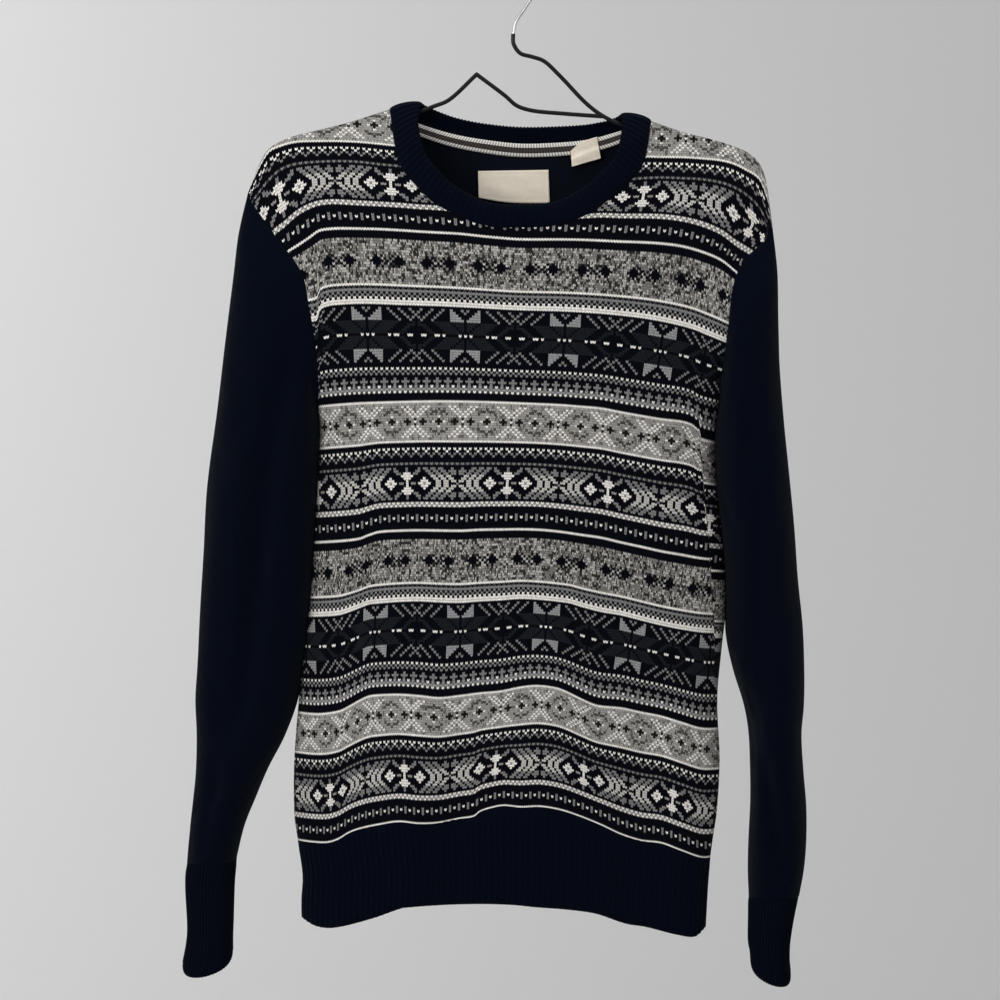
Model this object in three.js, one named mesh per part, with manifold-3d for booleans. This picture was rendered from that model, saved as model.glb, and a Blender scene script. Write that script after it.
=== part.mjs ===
// A crew-neck fair isle jumper hanging on its wire hanger, in millimetres.
// +Z is up, the front faces -Y, and the origin is under the crown of the hook,
// where a rail bears. "Left" is the viewer's left, at -X.

import * as THREE from "three";
import { mergeVertices } from "three/addons/utils/BufferGeometryUtils.js";
import Module from "manifold-3d";

const wasm = await Module();
wasm.setup();

// Cloth and seams
const CLOTH = 2.2;
const SEAM_GAP = 0.32;
const ARMHOLE_GAP = 0.75;
const RIB_HEIGHT = 1.1;

// Ribs counted round each ribbed piece
const HEM_RIBS = 100;
const CUFF_RIBS = 20;
const NECK_RIBS = 76;
const HEM_ROWS = 2;

// Body section: how far it stands off the plane of the hanger
const RIDGE_RADIUS = 4.6;
const DRAPE_LENGTH = 95;
const NECK_HALF_WIDTH = 115;
const NECK_BULGE_FRONT = 8;
const NECK_BULGE_BACK = 12;
const NECK_BULGE_START = 15;
const NECK_BULGE_LENGTH = 160;
const SECTION_POWER = 2.4;
const SIDE_ROUNDNESS = 0.42;
const SIDE_FLATTENING = 1.6;
const FOLD_FADE = 0.7;
const FOLD_HOLD = 0.3;
const BODY_MIDDLE_X = -12;
const ARMHOLE_OPENNESS = 0.86;
const ARMHOLE_RISE = 95;
const UNDERARM_Z = -404;

// Grid of the panels
const SHOULDER_COLUMNS = 6;
const NECK_COLUMNS = 18;
const CROWDING_AT_SHOULDER = 0.13;
const ROWS_BELOW_UNDERARM = 9;
const EVEN_ROWS_ABOVE_UNDERARM = 8;
const ROW_CROWDING_AT_UNDERARM = 1.35;
const RIDGE_ROWS_BELOW_TOP = [5, 2];
const FIRST_SLEEVE_RING = 4;
const EVEN_COLUMNS_Z = -560;
const LEAN_START = -0.9;
const SECTION_STEPS = 400;
const RING_STEPS = 60;
const SLOPE_ACROSS = 0.004;
const SLOPE_UP = 0.5;

// Shape of a sleeve's rings
const SLEEVE_ROUNDNESS = 0.9;
const SLEEVE_FOLD_FADE = 0.6;
const BOW_POWER = 1.6;

// Hanger: a coated wire, with a thinner bare hook
const WIRE_RADIUS = 1.8;
const HOOK_RADIUS = 1.25;
const HOOK_BEND = 22;
const WIRE_BELOW_RIDGE = 5;
const WIRE_SIDES = 8;
const HOOK_STEPS = 12;
const HOOK_START = -0.35;
const HOOK_TURN = Math.PI + 0.75;

// Side edge of the body: the side seam up to the underarm, then the armhole up to the
// shoulder point, and above it the line that the columns of cloth lean on.
const LEFT_EDGE = [
  { z: -840, x: -184 },
  { z: -812, x: -184.5 },
  { z: -790, x: -183.5 },
  { z: -757, x: -188.5 },
  { z: -738, x: -191 },
  { z: -693, x: -191 },
  { z: -640, x: -187 },
  { z: -600, x: -183 },
  { z: -560, x: -178.5 },
  { z: -512, x: -175 },
  { z: -442, x: -171 },
  { z: -404, x: -170 },
  { z: -360, x: -170 },
  { z: -330, x: -173.5 },
  { z: -305, x: -178 },
  { z: -284, x: -182 },
  { z: -268, x: -191 },
  { z: -250, x: -205 },
  { z: -236, x: -215 },
  { z: -222, x: -225 },
  { z: -211, x: -230.5 },
  { z: -200, x: -234 },
  { z: -138, x: -244 },
];
const RIGHT_EDGE = [
  { z: -840, x: 158 },
  { z: -790, x: 161 },
  { z: -757, x: 165 },
  { z: -738, x: 168 },
  { z: -693, x: 170.5 },
  { z: -640, x: 168.5 },
  { z: -600, x: 172 },
  { z: -560, x: 176 },
  { z: -512, x: 174 },
  { z: -474, x: 170 },
  { z: -442, x: 167 },
  { z: -404, x: 168 },
  { z: -365, x: 171.5 },
  { z: -322, x: 177 },
  { z: -298, x: 179.5 },
  { z: -281, x: 184 },
  { z: -270, x: 190 },
  { z: -262, x: 197 },
  { z: -250, x: 210 },
  { z: -239.5, x: 215.5 },
  { z: -223, x: 220 },
  { z: -138, x: 232 },
];

// Half depth of the body, front and back, from the hem up
const HALF_DEPTH = [
  { z: -840, depth: 42 },
  { z: -757, depth: 45 },
  { z: -600, depth: 47 },
  { z: -474, depth: 50 },
  { z: -138, depth: 50 },
];

// Shoulder ridges, from the shoulder point up to the neck
const LEFT_SHOULDER = [
  { x: -230.5, z: -211 },
  { x: -225, z: -197 },
  { x: -219, z: -183 },
  { x: -212, z: -173 },
  { x: -200, z: -166 },
  { x: -186, z: -161 },
  { x: -145, z: -151 },
  { x: -109.5, z: -139.5 },
];
const RIGHT_SHOULDER = [
  { x: 215.5, z: -239.5 },
  { x: 213, z: -222 },
  { x: 211, z: -206 },
  { x: 207, z: -191 },
  { x: 199, z: -180 },
  { x: 187, z: -173 },
  { x: 163, z: -165 },
  { x: 139, z: -159 },
  { x: 112, z: -149.5 },
];

// Seam of the neckband, left to right, and the band's free edge
const NECK_SEAM_FRONT = [
  { x: -109.5, z: -139.5 },
  { x: -107.5, z: -156 },
  { x: -101.5, z: -186 },
  { x: -89.5, z: -204 },
  { x: -68.7, z: -225 },
  { x: -31, z: -243 },
  { x: 0, z: -245.4 },
  { x: 32, z: -243 },
  { x: 60, z: -232 },
  { x: 77, z: -218.5 },
  { x: 98, z: -198 },
  { x: 106, z: -184 },
  { x: 110, z: -165 },
  { x: 112, z: -149.5 },
];
const NECK_SEAM_BACK = [
  { x: -109.5, z: -139.5 },
  { x: -99, z: -149.5 },
  { x: -86, z: -156 },
  { x: -58, z: -164.5 },
  { x: -27, z: -170 },
  { x: 5, z: -173 },
  { x: 45, z: -171.5 },
  { x: 68, z: -168 },
  { x: 88, z: -162 },
  { x: 102, z: -157 },
  { x: 112, z: -149.5 },
];
const NECK_EDGE_FRONT = [
  { x: -83, z: -134.5 },
  { x: -85, z: -154 },
  { x: -79.5, z: -177 },
  { x: -71, z: -190 },
  { x: -54.5, z: -206 },
  { x: -27, z: -220.5 },
  { x: 0, z: -222.5 },
  { x: 29, z: -220.5 },
  { x: 51, z: -210 },
  { x: 66, z: -198 },
  { x: 80, z: -182 },
  { x: 86, z: -163 },
  { x: 87, z: -144 },
];
const NECK_EDGE_BACK = [
  { x: -83, z: -134.5 },
  { x: -74, z: -138.5 },
  { x: -53, z: -146 },
  { x: -27, z: -151 },
  { x: 5, z: -153.7 },
  { x: 48, z: -152.3 },
  { x: 68, z: -149.8 },
  { x: 80, z: -147 },
  { x: 87, z: -144 },
];
const NECK_EDGE_DEPTH_FRONT = 35;
const NECK_EDGE_DEPTH_BACK = 15;
const NECK_EDGE_POWER = 0.5;
const NECK_CENTRE = new THREE.Vector3(0, -10, -190);
const NECK_FRONT_SHARE = 0.58;
const NECKBAND_BULGE = 1;

// Where the hem rib is joined and where it ends, across from the left side (-1) to the right (1)
const HEM_LINES_FRONT = [
  { across: -1, seam: -760, end: -826 },
  { across: -0.84, seam: -755, end: -826.5 },
  { across: -0.66, seam: -740, end: -818 },
  { across: -0.46, seam: -734, end: -806 },
  { across: -0.36, seam: -737, end: -807 },
  { across: -0.18, seam: -731, end: -805.5 },
  { across: 0.03, seam: -722, end: -806 },
  { across: 0.16, seam: -722, end: -808 },
  { across: 0.3, seam: -729.5, end: -810 },
  { across: 0.45, seam: -740, end: -814 },
  { across: 0.6, seam: -750, end: -823 },
  { across: 0.7, seam: -752.5, end: -826 },
  { across: 0.86, seam: -765, end: -833 },
  { across: 1, seam: -775, end: -836 },
];
const HEM_LINES_BACK = [
  { across: -1, seam: -760, end: -826 },
  { across: -0.5, seam: -745, end: -817 },
  { across: 0, seam: -738, end: -813 },
  { across: 0.5, seam: -752, end: -822 },
  { across: 1, seam: -775, end: -836 },
];

// Soft folds of the body: a ridge stands out, a trough (negative height) goes in.
// Each runs between two heights, leaning from one x to the other.
const FRONT_FOLDS = [
  { topX: -128, topZ: -250, endX: -168, endZ: -420, width: 13, height: -5 },
  { topX: -150, topZ: -240, endX: -181, endZ: -330, width: 12, height: 4 },
  { topX: -78, topZ: -560, endX: -95, endZ: -850, width: 26, height: 7 },
  { topX: -60, topZ: -640, endX: -58, endZ: -850, width: 20, height: -5 },
  { topX: 30, topZ: -470, endX: 18, endZ: -850, width: 34, height: 6 },
  { topX: 118, topZ: -600, endX: 96, endZ: -850, width: 24, height: -7 },
  { topX: 148, topZ: -560, endX: 138, endZ: -850, width: 20, height: 4 },
  { topX: 140, topZ: -255, endX: 168, endZ: -430, width: 15, height: -5 },
  { topX: -150, topZ: -470, endX: -136, endZ: -800, width: 20, height: -4 },
];
const BACK_FOLDS = [
  { topX: -120, topZ: -260, endX: -160, endZ: -440, width: 16, height: -5 },
  { topX: 125, topZ: -270, endX: 160, endZ: -450, width: 16, height: -5 },
  { topX: -60, topZ: -520, endX: -82, endZ: -850, width: 30, height: 6 },
  { topX: 10, topZ: -600, endX: 0, endZ: -850, width: 26, height: -5 },
  { topX: 70, topZ: -500, endX: 88, endZ: -850, width: 32, height: 6 },
];

// Sleeves, a row for each ring from just past the armhole to the cuff: its outer and inner
// end, seen from the front, its half depth, and how far its middle bows towards the body.
const LEFT_SLEEVE = [
  { outX: -238, outZ: -244, inX: -175.6, inZ: -398, depth: 35, bow: 17 },
  { outX: -243, outZ: -284, inX: -176, inZ: -411, depth: 39, bow: 11 },
  { outX: -250, outZ: -340, inX: -173.5, inZ: -428, depth: 43, bow: 6 },
  { outX: -257, outZ: -400, inX: -173.6, inZ: -450, depth: 45, bow: 3 },
  { outX: -265, outZ: -460, inX: -174.6, inZ: -480, depth: 45, bow: 0 },
  { outX: -268, outZ: -515, inX: -177, inZ: -520, depth: 44, bow: 0 },
  { outX: -271, outZ: -565, inX: -180.6, inZ: -566, depth: 42, bow: 0 },
  { outX: -273, outZ: -608, inX: -186, inZ: -608, depth: 40, bow: 0 },
  { outX: -275, outZ: -641, inX: -191.5, inZ: -640, depth: 39, bow: 0 },
  { outX: -274, outZ: -672, inX: -201, inZ: -672, depth: 37, bow: 0 },
  { outX: -274.5, outZ: -700, inX: -213, inZ: -699, depth: 35, bow: 0 },
  { outX: -277, outZ: -727, inX: -224, inZ: -725, depth: 32, bow: 0 },
  { outX: -279.5, outZ: -750, inX: -233.5, inZ: -749, depth: 30, bow: 0 },
  { outX: -281.5, outZ: -771, inX: -239, inZ: -770, depth: 28, bow: 0 },
];
const RIGHT_SLEEVE = [
  { outX: 219.5, outZ: -277, inX: 173.4, inZ: -398, depth: 37, bow: 11 },
  { outX: 220.5, outZ: -325, inX: 172, inZ: -416, depth: 43, bow: 7 },
  { outX: 221.5, outZ: -360, inX: 171.5, inZ: -434, depth: 47, bow: 4 },
  { outX: 225, outZ: -405, inX: 171.4, inZ: -456, depth: 50, bow: 2 },
  { outX: 229.5, outZ: -450, inX: 174, inZ: -484, depth: 51, bow: 0 },
  { outX: 234, outZ: -497, inX: 176.6, inZ: -515, depth: 51, bow: 0 },
  { outX: 237, outZ: -540, inX: 178.4, inZ: -550, depth: 50, bow: 0 },
  { outX: 241, outZ: -578, inX: 176.6, inZ: -584, depth: 48, bow: 0 },
  { outX: 242.5, outZ: -616, inX: 184, inZ: -614, depth: 46, bow: 0 },
  { outX: 242, outZ: -646, inX: 191, inZ: -645, depth: 44, bow: 0 },
  { outX: 240, outZ: -671, inX: 195.5, inZ: -671, depth: 43, bow: 0 },
  { outX: 241.5, outZ: -700, inX: 196.5, inZ: -699, depth: 41, bow: 0 },
  { outX: 244, outZ: -731, inX: 196.5, inZ: -730, depth: 38, bow: 0 },
  { outX: 244, outZ: -762, inX: 195, inZ: -761, depth: 35, bow: 0 },
  { outX: 242, outZ: -786, inX: 194.5, inZ: -786, depth: 31, bow: 0 },
  { outX: 239.5, outZ: -801, inX: 195, inZ: -800, depth: 28, bow: 0 },
];

// Long folds of the sleeves: where they start and end down the sleeve, as a share of its
// rings, and across it from the inner end (0) to the outer end (1).
const LEFT_SLEEVE_FOLDS = [
  { from: 0.03, to: 0.72, startAcross: 0.42, endAcross: 0.55, width: 0.13, height: -13 },
  { from: 0.35, to: 1, startAcross: 0.8, endAcross: 0.66, width: 0.14, height: -5 },
];
const RIGHT_SLEEVE_FOLDS = [
  { from: 0.05, to: 0.55, startAcross: 0.6, endAcross: 0.4, width: 0.15, height: -7 },
  { from: 0.66, to: 1, startAcross: 0.05, endAcross: 0.72, width: 0.17, height: -9 },
];

const LEFT_CUFF = [
  { outX: -283, outZ: -797, inX: -242, inZ: -793, depth: 27 },
  { outX: -281.5, outZ: -832, inX: -243, inZ: -828, depth: 27 },
  { outX: -285, outZ: -869, inX: -243.5, inZ: -857, depth: 29 },
];
const RIGHT_CUFF = [
  { outX: 234, outZ: -816, inX: 195.5, inZ: -818, depth: 26 },
  { outX: 230.5, outZ: -843, inX: 195, inZ: -845, depth: 26 },
  { outX: 230, outZ: -881, inX: 199, inZ: -873, depth: 28 },
];

// Wire of the hanger, from the bare hook down the right arm, round, and up the left arm
const RIGHT_ARM = [
  { x: -5, z: -75.5 },
  { x: -4.6, z: -84 },
  { x: 1, z: -92 },
  { x: 11, z: -95 },
  { x: 21, z: -98.6 },
  { x: 34, z: -110.5 },
  { x: 57, z: -134.5 },
  { x: 70, z: -144.5 },
  { x: 87, z: -152.5 },
];
const RIGHT_LOOP = [
  { x: 193, z: -187 },
  { x: 199, z: -199 },
  { x: 200, z: -214 },
  { x: 193, z: -230 },
  { x: 179, z: -239 },
  { x: 160, z: -242 },
];
const LEFT_LOOP = [
  { x: -175, z: -239 },
  { x: -193, z: -234 },
  { x: -205, z: -218 },
  { x: -209, z: -201 },
  { x: -207, z: -186 },
  { x: -198, z: -175 },
];
const LEFT_ARM_IN = [
  { x: -83, z: -141 },
  { x: -72, z: -137 },
  { x: -60, z: -132 },
  { x: -36, z: -110 },
];
const INNER_ARM = [
  { x: -36, z: -110 },
  { x: -12, z: -128 },
  { x: -2, z: -136.5 },
  { x: 10, z: -140.5 },
  { x: 40, z: -143.5 },
  { x: 71, z: -145.7 },
];

const HOOK_SHANK = [
  { x: -3, z: -66.5 },
  { x: 5, z: -54 },
  { x: 14, z: -40 },
];

// Trim inside the back of the neck
const TAPE_ENDS = { left: 0.1, right: 0.91 };
const TAPE_HALF_WIDTH = 6.3;
const TAPE_STEPS = 40;
const TAPE_CLEARANCE = 0.5;
const TRIM_THICKNESS = 0.8;
const PATCH_STAND_OFF = 3.5;
const LABEL = [
  { x: -37, z: -186 },
  { x: 28.5, z: -183.5 },
  { x: 29.5, z: -215.5 },
  { x: -36, z: -212 },
];
const SIZE_TAG = { x: 57, z: -173, width: 26, height: 19, tilt: -0.2, standOff: 0.9, thickness: 1.2 };

const COLOURS = {
  fairIsle: 0x8a8a88,
  navy: 0x0d1220,
  cream: 0xe4ddcf,
  black: 0x111214,
  steel: 0xc4c6c8,
};

// Value of a named column at a place in a table, along a smooth line through its rows.
function lookUp(table, key, at, column) {
  const rising = table[table.length - 1][key] > table[0][key];
  const rows = rising ? table : [...table].reverse();
  const last = rows.length - 1;
  let i = 0;
  while (i < last - 1 && at > rows[i + 1][key]) i += 1;
  const slope = (k) => {
    const a = Math.max(k - 1, 0);
    const b = Math.min(k + 1, last);
    return (rows[b][column] - rows[a][column]) / (rows[b][key] - rows[a][key]);
  };
  const span = rows[i + 1][key] - rows[i][key];
  const t = THREE.MathUtils.clamp((at - rows[i][key]) / span, 0, 1);
  const start = rows[i][column];
  const end = rows[i + 1][column];
  const t2 = t * t;
  const t3 = t2 * t;
  return (
    start * (2 * t3 - 3 * t2 + 1) +
    end * (3 * t2 - 2 * t3) +
    span * (slope(i) * (t3 - 2 * t2 + t) + slope(i + 1) * (t3 - t2))
  );
}

// Length run along a line of vectors, at each of its points.
function runLengths(line) {
  const lengths = [0];
  for (let i = 1; i < line.length; i += 1) {
    lengths.push(lengths[i - 1] + line[i].distanceTo(line[i - 1]));
  }
  return lengths;
}

// Points at given shares of the length of an open line of vectors.
function pointsAt(line, shares) {
  const lengths = runLengths(line);
  const total = lengths[lengths.length - 1];
  return shares.map((share) => {
    const want = total * share;
    let k = 0;
    while (k < line.length - 2 && lengths[k + 1] < want) k += 1;
    const t = (want - lengths[k]) / (lengths[k + 1] - lengths[k]);
    return line[k].clone().lerp(line[k + 1], t);
  });
}

function evenShares(count) {
  return Array.from({ length: count + 1 }, (_, i) => i / count);
}

function evenPoints(line, count) {
  return pointsAt(line, evenShares(count));
}

// The shares of its length at which a line's own points lie.
function sharesOf(line) {
  const lengths = runLengths(line);
  return lengths.map((length) => length / lengths[lengths.length - 1]);
}

// Points along a smooth line through a table's rows. Crowding gathers them at its ends.
function smoothLine(rows, steps, crowding = 0) {
  const points = rows.map((row) => new THREE.Vector3(row.x, 0, row.z));
  const curve = new THREE.CatmullRomCurve3(points, false, "centripetal");
  const line = [];
  for (let i = 0; i <= steps; i += 1) {
    const share = i / steps;
    line.push(curve.getPointAt(share - crowding * Math.sin(2 * Math.PI * share)));
  }
  return line;
}

// The ridge that the cloth hangs from, straight across the neck.
const RIDGE = [...LEFT_SHOULDER, ...[...RIGHT_SHOULDER].reverse()];

// How far a point of the front view lies below the ridge, or 0 above it.
function belowRidge(x, z) {
  let nearest = Infinity;
  for (let i = 0; i < RIDGE.length - 1; i += 1) {
    const a = RIDGE[i];
    const b = RIDGE[i + 1];
    const dx = b.x - a.x;
    const dz = b.z - a.z;
    const t = THREE.MathUtils.clamp(
      ((x - a.x) * dx + (z - a.z) * dz) / (dx * dx + dz * dz), 0, 1);
    nearest = Math.min(nearest, Math.hypot(x - a.x - t * dx, z - a.z - t * dz));
  }
  return nearest;
}

function sideEdges(z) {
  const left = lookUp(LEFT_EDGE, "z", z, "x");
  const right = lookUp(RIGHT_EDGE, "z", z, "x");
  return { middle: (left + right) / 2, half: (right - left) / 2 };
}

// How far the folds raise or sink the cloth at a point of the front view.
function foldHeight(folds, x, z) {
  let height = 0;
  for (const fold of folds) {
    const along = (fold.topZ - z) / (fold.topZ - fold.endZ);
    if (along <= 0 || along >= 1) continue;
    const centre = fold.topX + (fold.endX - fold.topX) * along;
    const off = (x - centre) / fold.width;
    const held = Math.min(along, 0.5 + along * FOLD_HOLD);
    const fade = Math.sin(Math.PI * held) ** FOLD_FADE;
    height += fold.height * Math.exp(-off * off) * fade;
  }
  return height;
}

// Distance of the cloth from the plane of the hanger, front or back.
function standOff(isFront, across, z) {
  const { middle, half } = sideEdges(z);
  const x = middle + half * across;
  const depth = lookUp(HALF_DEPTH, "z", z, "depth");
  const below = belowRidge(x, z);
  const round = Math.min(below, RIDGE_RADIUS);
  const ridge = Math.sqrt(round * (2 * RIDGE_RADIUS - round));
  const drape = 1 - Math.exp(-Math.max(below - RIDGE_RADIUS, 0) / DRAPE_LENGTH);
  const neckShare = Math.max(0, 1 - (x / NECK_HALF_WIDTH) ** 2) ** 2;
  const bulge = (isFront ? NECK_BULGE_FRONT : NECK_BULGE_BACK) * neckShare;
  const neckFade = Math.exp(-below / NECK_BULGE_LENGTH);
  const neck = bulge * (1 - Math.exp(-below / NECK_BULGE_START)) * neckFade;
  const rise = THREE.MathUtils.clamp((z - UNDERARM_Z) / ARMHOLE_RISE, 0, 1);
  const open = ARMHOLE_OPENNESS * Math.sqrt(rise);
  const power = SIDE_ROUNDNESS + (1 - SIDE_ROUNDNESS) * Math.min(rise * SIDE_FLATTENING, 1);
  const section = Math.max(0, 1 - Math.abs(across) ** SECTION_POWER) ** power;
  const folds = foldHeight(isFront ? FRONT_FOLDS : BACK_FOLDS, x, z);
  const flat = ridge + (depth - RIDGE_RADIUS) * drape + neck;
  return flat * (open + (1 - open) * section) + folds * section * drape;
}

function bodyPoint(isFront, across, z) {
  const { middle, half } = sideEdges(z);
  const off = Math.max(standOff(isFront, across, z), SEAM_GAP / 2);
  return new THREE.Vector3(middle + half * across, isFront ? -off : off, z);
}

// Grid directions that point into the cloth, from the slopes of the grid itself.
function inwardOf(grid, closed, hint) {
  const rows = grid.length;
  const columns = grid[0].length;
  let sign = 0;
  const result = grid.map((row, i) =>
    row.map((_, j) => {
      const before = closed ? (j + columns - 1) % columns : Math.max(j - 1, 0);
      const after = closed ? (j + 1) % columns : Math.min(j + 1, columns - 1);
      const across = row[after].clone().sub(row[before]);
      const up = grid[Math.min(i + 1, rows - 1)][j].clone().sub(grid[Math.max(i - 1, 0)][j]);
      const normal = across.cross(up).normalize();
      sign += normal.dot(hint(i, j));
      return normal;
    }),
  );
  if (sign < 0) result.forEach((row) => row.forEach((v) => v.negate()));
  return result;
}

// A closed wall between a grid and the same grid moved inwards.
function wall(grid, inward, thickness, closed) {
  const rows = grid.length;
  const columns = grid[0].length;
  const positions = [];
  const put = (v) => positions.push(v.x, v.y, v.z);
  grid.forEach((row) => row.forEach(put));
  grid.forEach((row, i) =>
    row.forEach((v, j) => put(v.clone().addScaledVector(inward[i][j], thickness))));
  const outer = (i, j) => i * columns + (j % columns);
  const inner = (i, j) => rows * columns + outer(i, j);
  const index = [];
  const face = (a, b, c, d) => index.push(a, b, c, a, c, d);
  const spans = closed ? columns : columns - 1;
  for (let i = 0; i < rows - 1; i += 1) {
    for (let j = 0; j < spans; j += 1) {
      face(outer(i, j), outer(i, j + 1), outer(i + 1, j + 1), outer(i + 1, j));
      face(inner(i, j), inner(i + 1, j), inner(i + 1, j + 1), inner(i, j + 1));
    }
  }
  for (let j = 0; j < spans; j += 1) {
    face(outer(0, j + 1), outer(0, j), inner(0, j), inner(0, j + 1));
    face(outer(rows - 1, j), outer(rows - 1, j + 1), inner(rows - 1, j + 1), inner(rows - 1, j));
  }
  if (!closed) {
    const end = columns - 1;
    for (let i = 0; i < rows - 1; i += 1) {
      face(outer(i, 0), outer(i + 1, 0), inner(i + 1, 0), inner(i, 0));
      face(outer(i + 1, end), outer(i, end), inner(i, end), inner(i + 1, end));
    }
  }
  const geometry = new THREE.BufferGeometry();
  geometry.setAttribute("position", new THREE.Float32BufferAttribute(positions, 3));
  geometry.setIndex(index);
  if (signedVolume(geometry) < 0) geometry.index.array.reverse();
  geometry.computeVertexNormals();
  return geometry;
}

function signedVolume(geometry) {
  const at = geometry.getAttribute("position");
  const [a, b, c] = [new THREE.Vector3(), new THREE.Vector3(), new THREE.Vector3()];
  let volume = 0;
  for (let i = 0; i < geometry.index.count; i += 3) {
    a.fromBufferAttribute(at, geometry.index.getX(i));
    b.fromBufferAttribute(at, geometry.index.getX(i + 1));
    c.fromBufferAttribute(at, geometry.index.getX(i + 2));
    volume += a.dot(b.cross(c)) / 6;
  }
  return volume;
}

function cloth(name, geometry, colour, roughness = 0.95, metalness = 0) {
  const material = new THREE.MeshStandardMaterial({ color: colour, roughness, metalness });
  const mesh = new THREE.Mesh(geometry, material);
  mesh.name = name;
  return mesh;
}

// Shares of the front view's width that lie evenly along the body's section.
function evenAcross(isFront, z, count) {
  const fine = [];
  for (let i = 0; i <= SECTION_STEPS; i += 1) {
    const across = -Math.cos((Math.PI * i) / SECTION_STEPS);
    fine.push(bodyPoint(isFront, across, z));
  }
  const { middle, half } = sideEdges(z);
  return evenPoints(fine, count).map((v) =>
    THREE.MathUtils.clamp((v.x - middle) / half, -1, 1));
}

// Front or back panel: columns rise from the hem seam to the shoulders and the neckline.
function panelGrid(isFront) {
  const columns = 2 * SHOULDER_COLUMNS + NECK_COLUMNS;
  const hemLines = isFront ? HEM_LINES_FRONT : HEM_LINES_BACK;
  const neckSeam = isFront ? NECK_SEAM_FRONT : NECK_SEAM_BACK;
  const rightDown = [...RIGHT_SHOULDER].reverse();
  const top = [
    ...smoothLine(LEFT_SHOULDER, SHOULDER_COLUMNS),
    ...smoothLine(neckSeam, NECK_COLUMNS, CROWDING_AT_SHOULDER).slice(1),
    ...smoothLine(rightDown, SHOULDER_COLUMNS).slice(1),
  ];
  const low = evenAcross(isFront, EVEN_COLUMNS_Z, columns);
  const rows = ROWS_BELOW_UNDERARM + EVEN_ROWS_ABOVE_UNDERARM + RIDGE_ROWS_BELOW_TOP.length;
  const grid = [];
  for (let i = 0; i <= rows; i += 1) {
    grid.push(low.map((across, j) => {
      const topZ = top[j].z;
      const edges = sideEdges(topZ);
      const topAcross = THREE.MathUtils.clamp((top[j].x - edges.middle) / edges.half, -1, 1);
      const above = i - ROWS_BELOW_UNDERARM;
      let z;
      if (above <= 0) {
        const seamZ = lookUp(hemLines, "across", across, "seam");
        z = seamZ + ((UNDERARM_Z - seamZ) * i) / ROWS_BELOW_UNDERARM;
      } else if (above <= EVEN_ROWS_ABOVE_UNDERARM) {
        const end = topZ - RIDGE_ROWS_BELOW_TOP[0];
        const up = (above / EVEN_ROWS_ABOVE_UNDERARM) ** ROW_CROWDING_AT_UNDERARM;
        z = UNDERARM_Z + (end - UNDERARM_Z) * up;
      } else {
        const drop = RIDGE_ROWS_BELOW_TOP[above - EVEN_ROWS_ABOVE_UNDERARM] ?? 0;
        z = topZ - drop;
      }
      const share = (z - UNDERARM_Z) / (topZ - UNDERARM_Z);
      const lean = THREE.MathUtils.smoothstep(share, LEAN_START, 1);
      return bodyPoint(isFront, THREE.MathUtils.lerp(across, topAcross, lean), z);
    }));
  }
  return grid;
}

// The direction into the body from a point of its surface.
function bodyInward(isFront, point) {
  const { middle, half } = sideEdges(point.z);
  const across = (point.x - middle) / half;
  const from = bodyPoint(isFront, Math.max(across - SLOPE_ACROSS, -1), point.z);
  const to = bodyPoint(isFront, Math.min(across + SLOPE_ACROSS, 1), point.z);
  const below = bodyPoint(isFront, across, point.z - SLOPE_UP);
  const above = bodyPoint(isFront, across, point.z + SLOPE_UP);
  const normal = to.sub(from).cross(above.sub(below)).normalize();
  return isFront ? normal.negate() : normal;
}

// Inward directions of a panel: plain into the body, down under the shoulder ridges, and
// straight across at the side seams, so that front and back meet edge to edge.
function panelInward(grid, isFront) {
  const inward = grid.map((row) => row.map((v) => bodyInward(isFront, v)));
  const last = grid.length - 1;
  const end = grid[0].length - 1;
  for (let j = 0; j <= end; j += 1) {
    const onShoulder = j <= SHOULDER_COLUMNS || j >= end - SHOULDER_COLUMNS;
    if (onShoulder) inward[last][j].set(0, 0, -1);
  }
  for (let i = 0; i <= ROWS_BELOW_UNDERARM; i += 1) {
    inward[i][0].set(1, 0, 0);
    inward[i][end].set(-1, 0, 0);
  }
  grid.forEach((row, i) => row.forEach((v, j) => {
    const room = (Math.abs(v.y) - SEAM_GAP / 2) / CLOTH;
    const direction = inward[i][j];
    if (Math.abs(direction.y) > room) direction.y = Math.sign(direction.y) * room;
  }));
  return inward;
}

// A line of points along an edge, with the directions into the cloth, moved off the edge
// by the seam gap, away from the cloth that the edge belongs to.
function seamLine(points, inward, inside, closed, gap = SEAM_GAP) {
  const count = points.length;
  const away = points.map((_, i) => {
    const before = closed ? (i + count - 1) % count : Math.max(i - 1, 0);
    const after = closed ? (i + 1) % count : Math.min(i + 1, count - 1);
    const along = points[after].clone().sub(points[before]).normalize();
    const direction = along.cross(inward[i]).normalize();
    return direction.dot(inside[i]) > 0 ? direction.negate() : direction;
  });
  const moved = points.map((p, i) => p.clone().addScaledVector(away[i], gap));
  return { points: moved, inward, away };
}

// The closed line of a sleeve's armhole, from the underarm up the front to the shoulder
// point and down the back.
function armhole(front, back, isLeft) {
  const column = isLeft ? 0 : front.grid[0].length - 1;
  const next = isLeft ? 1 : column - 1;
  const points = [];
  const inward = [];
  const inside = [];
  const top = front.grid.length - 1;
  const take = (panel, i) => {
    points.push(panel.grid[i][column].clone());
    inward.push(panel.inward[i][column].clone());
    inside.push(panel.grid[i][next].clone().sub(panel.grid[i][column]));
  };
  for (let i = ROWS_BELOW_UNDERARM; i <= top; i += 1) take(front, i);
  for (let i = top - 1; i > ROWS_BELOW_UNDERARM; i -= 1) take(back, i);
  const shoulder = top - ROWS_BELOW_UNDERARM;
  points[0].y = 0;
  points[shoulder].y = 0;
  inside[0].set(0, 0, -1);
  return seamLine(points, inward, inside, true, ARMHOLE_GAP);
}

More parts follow.
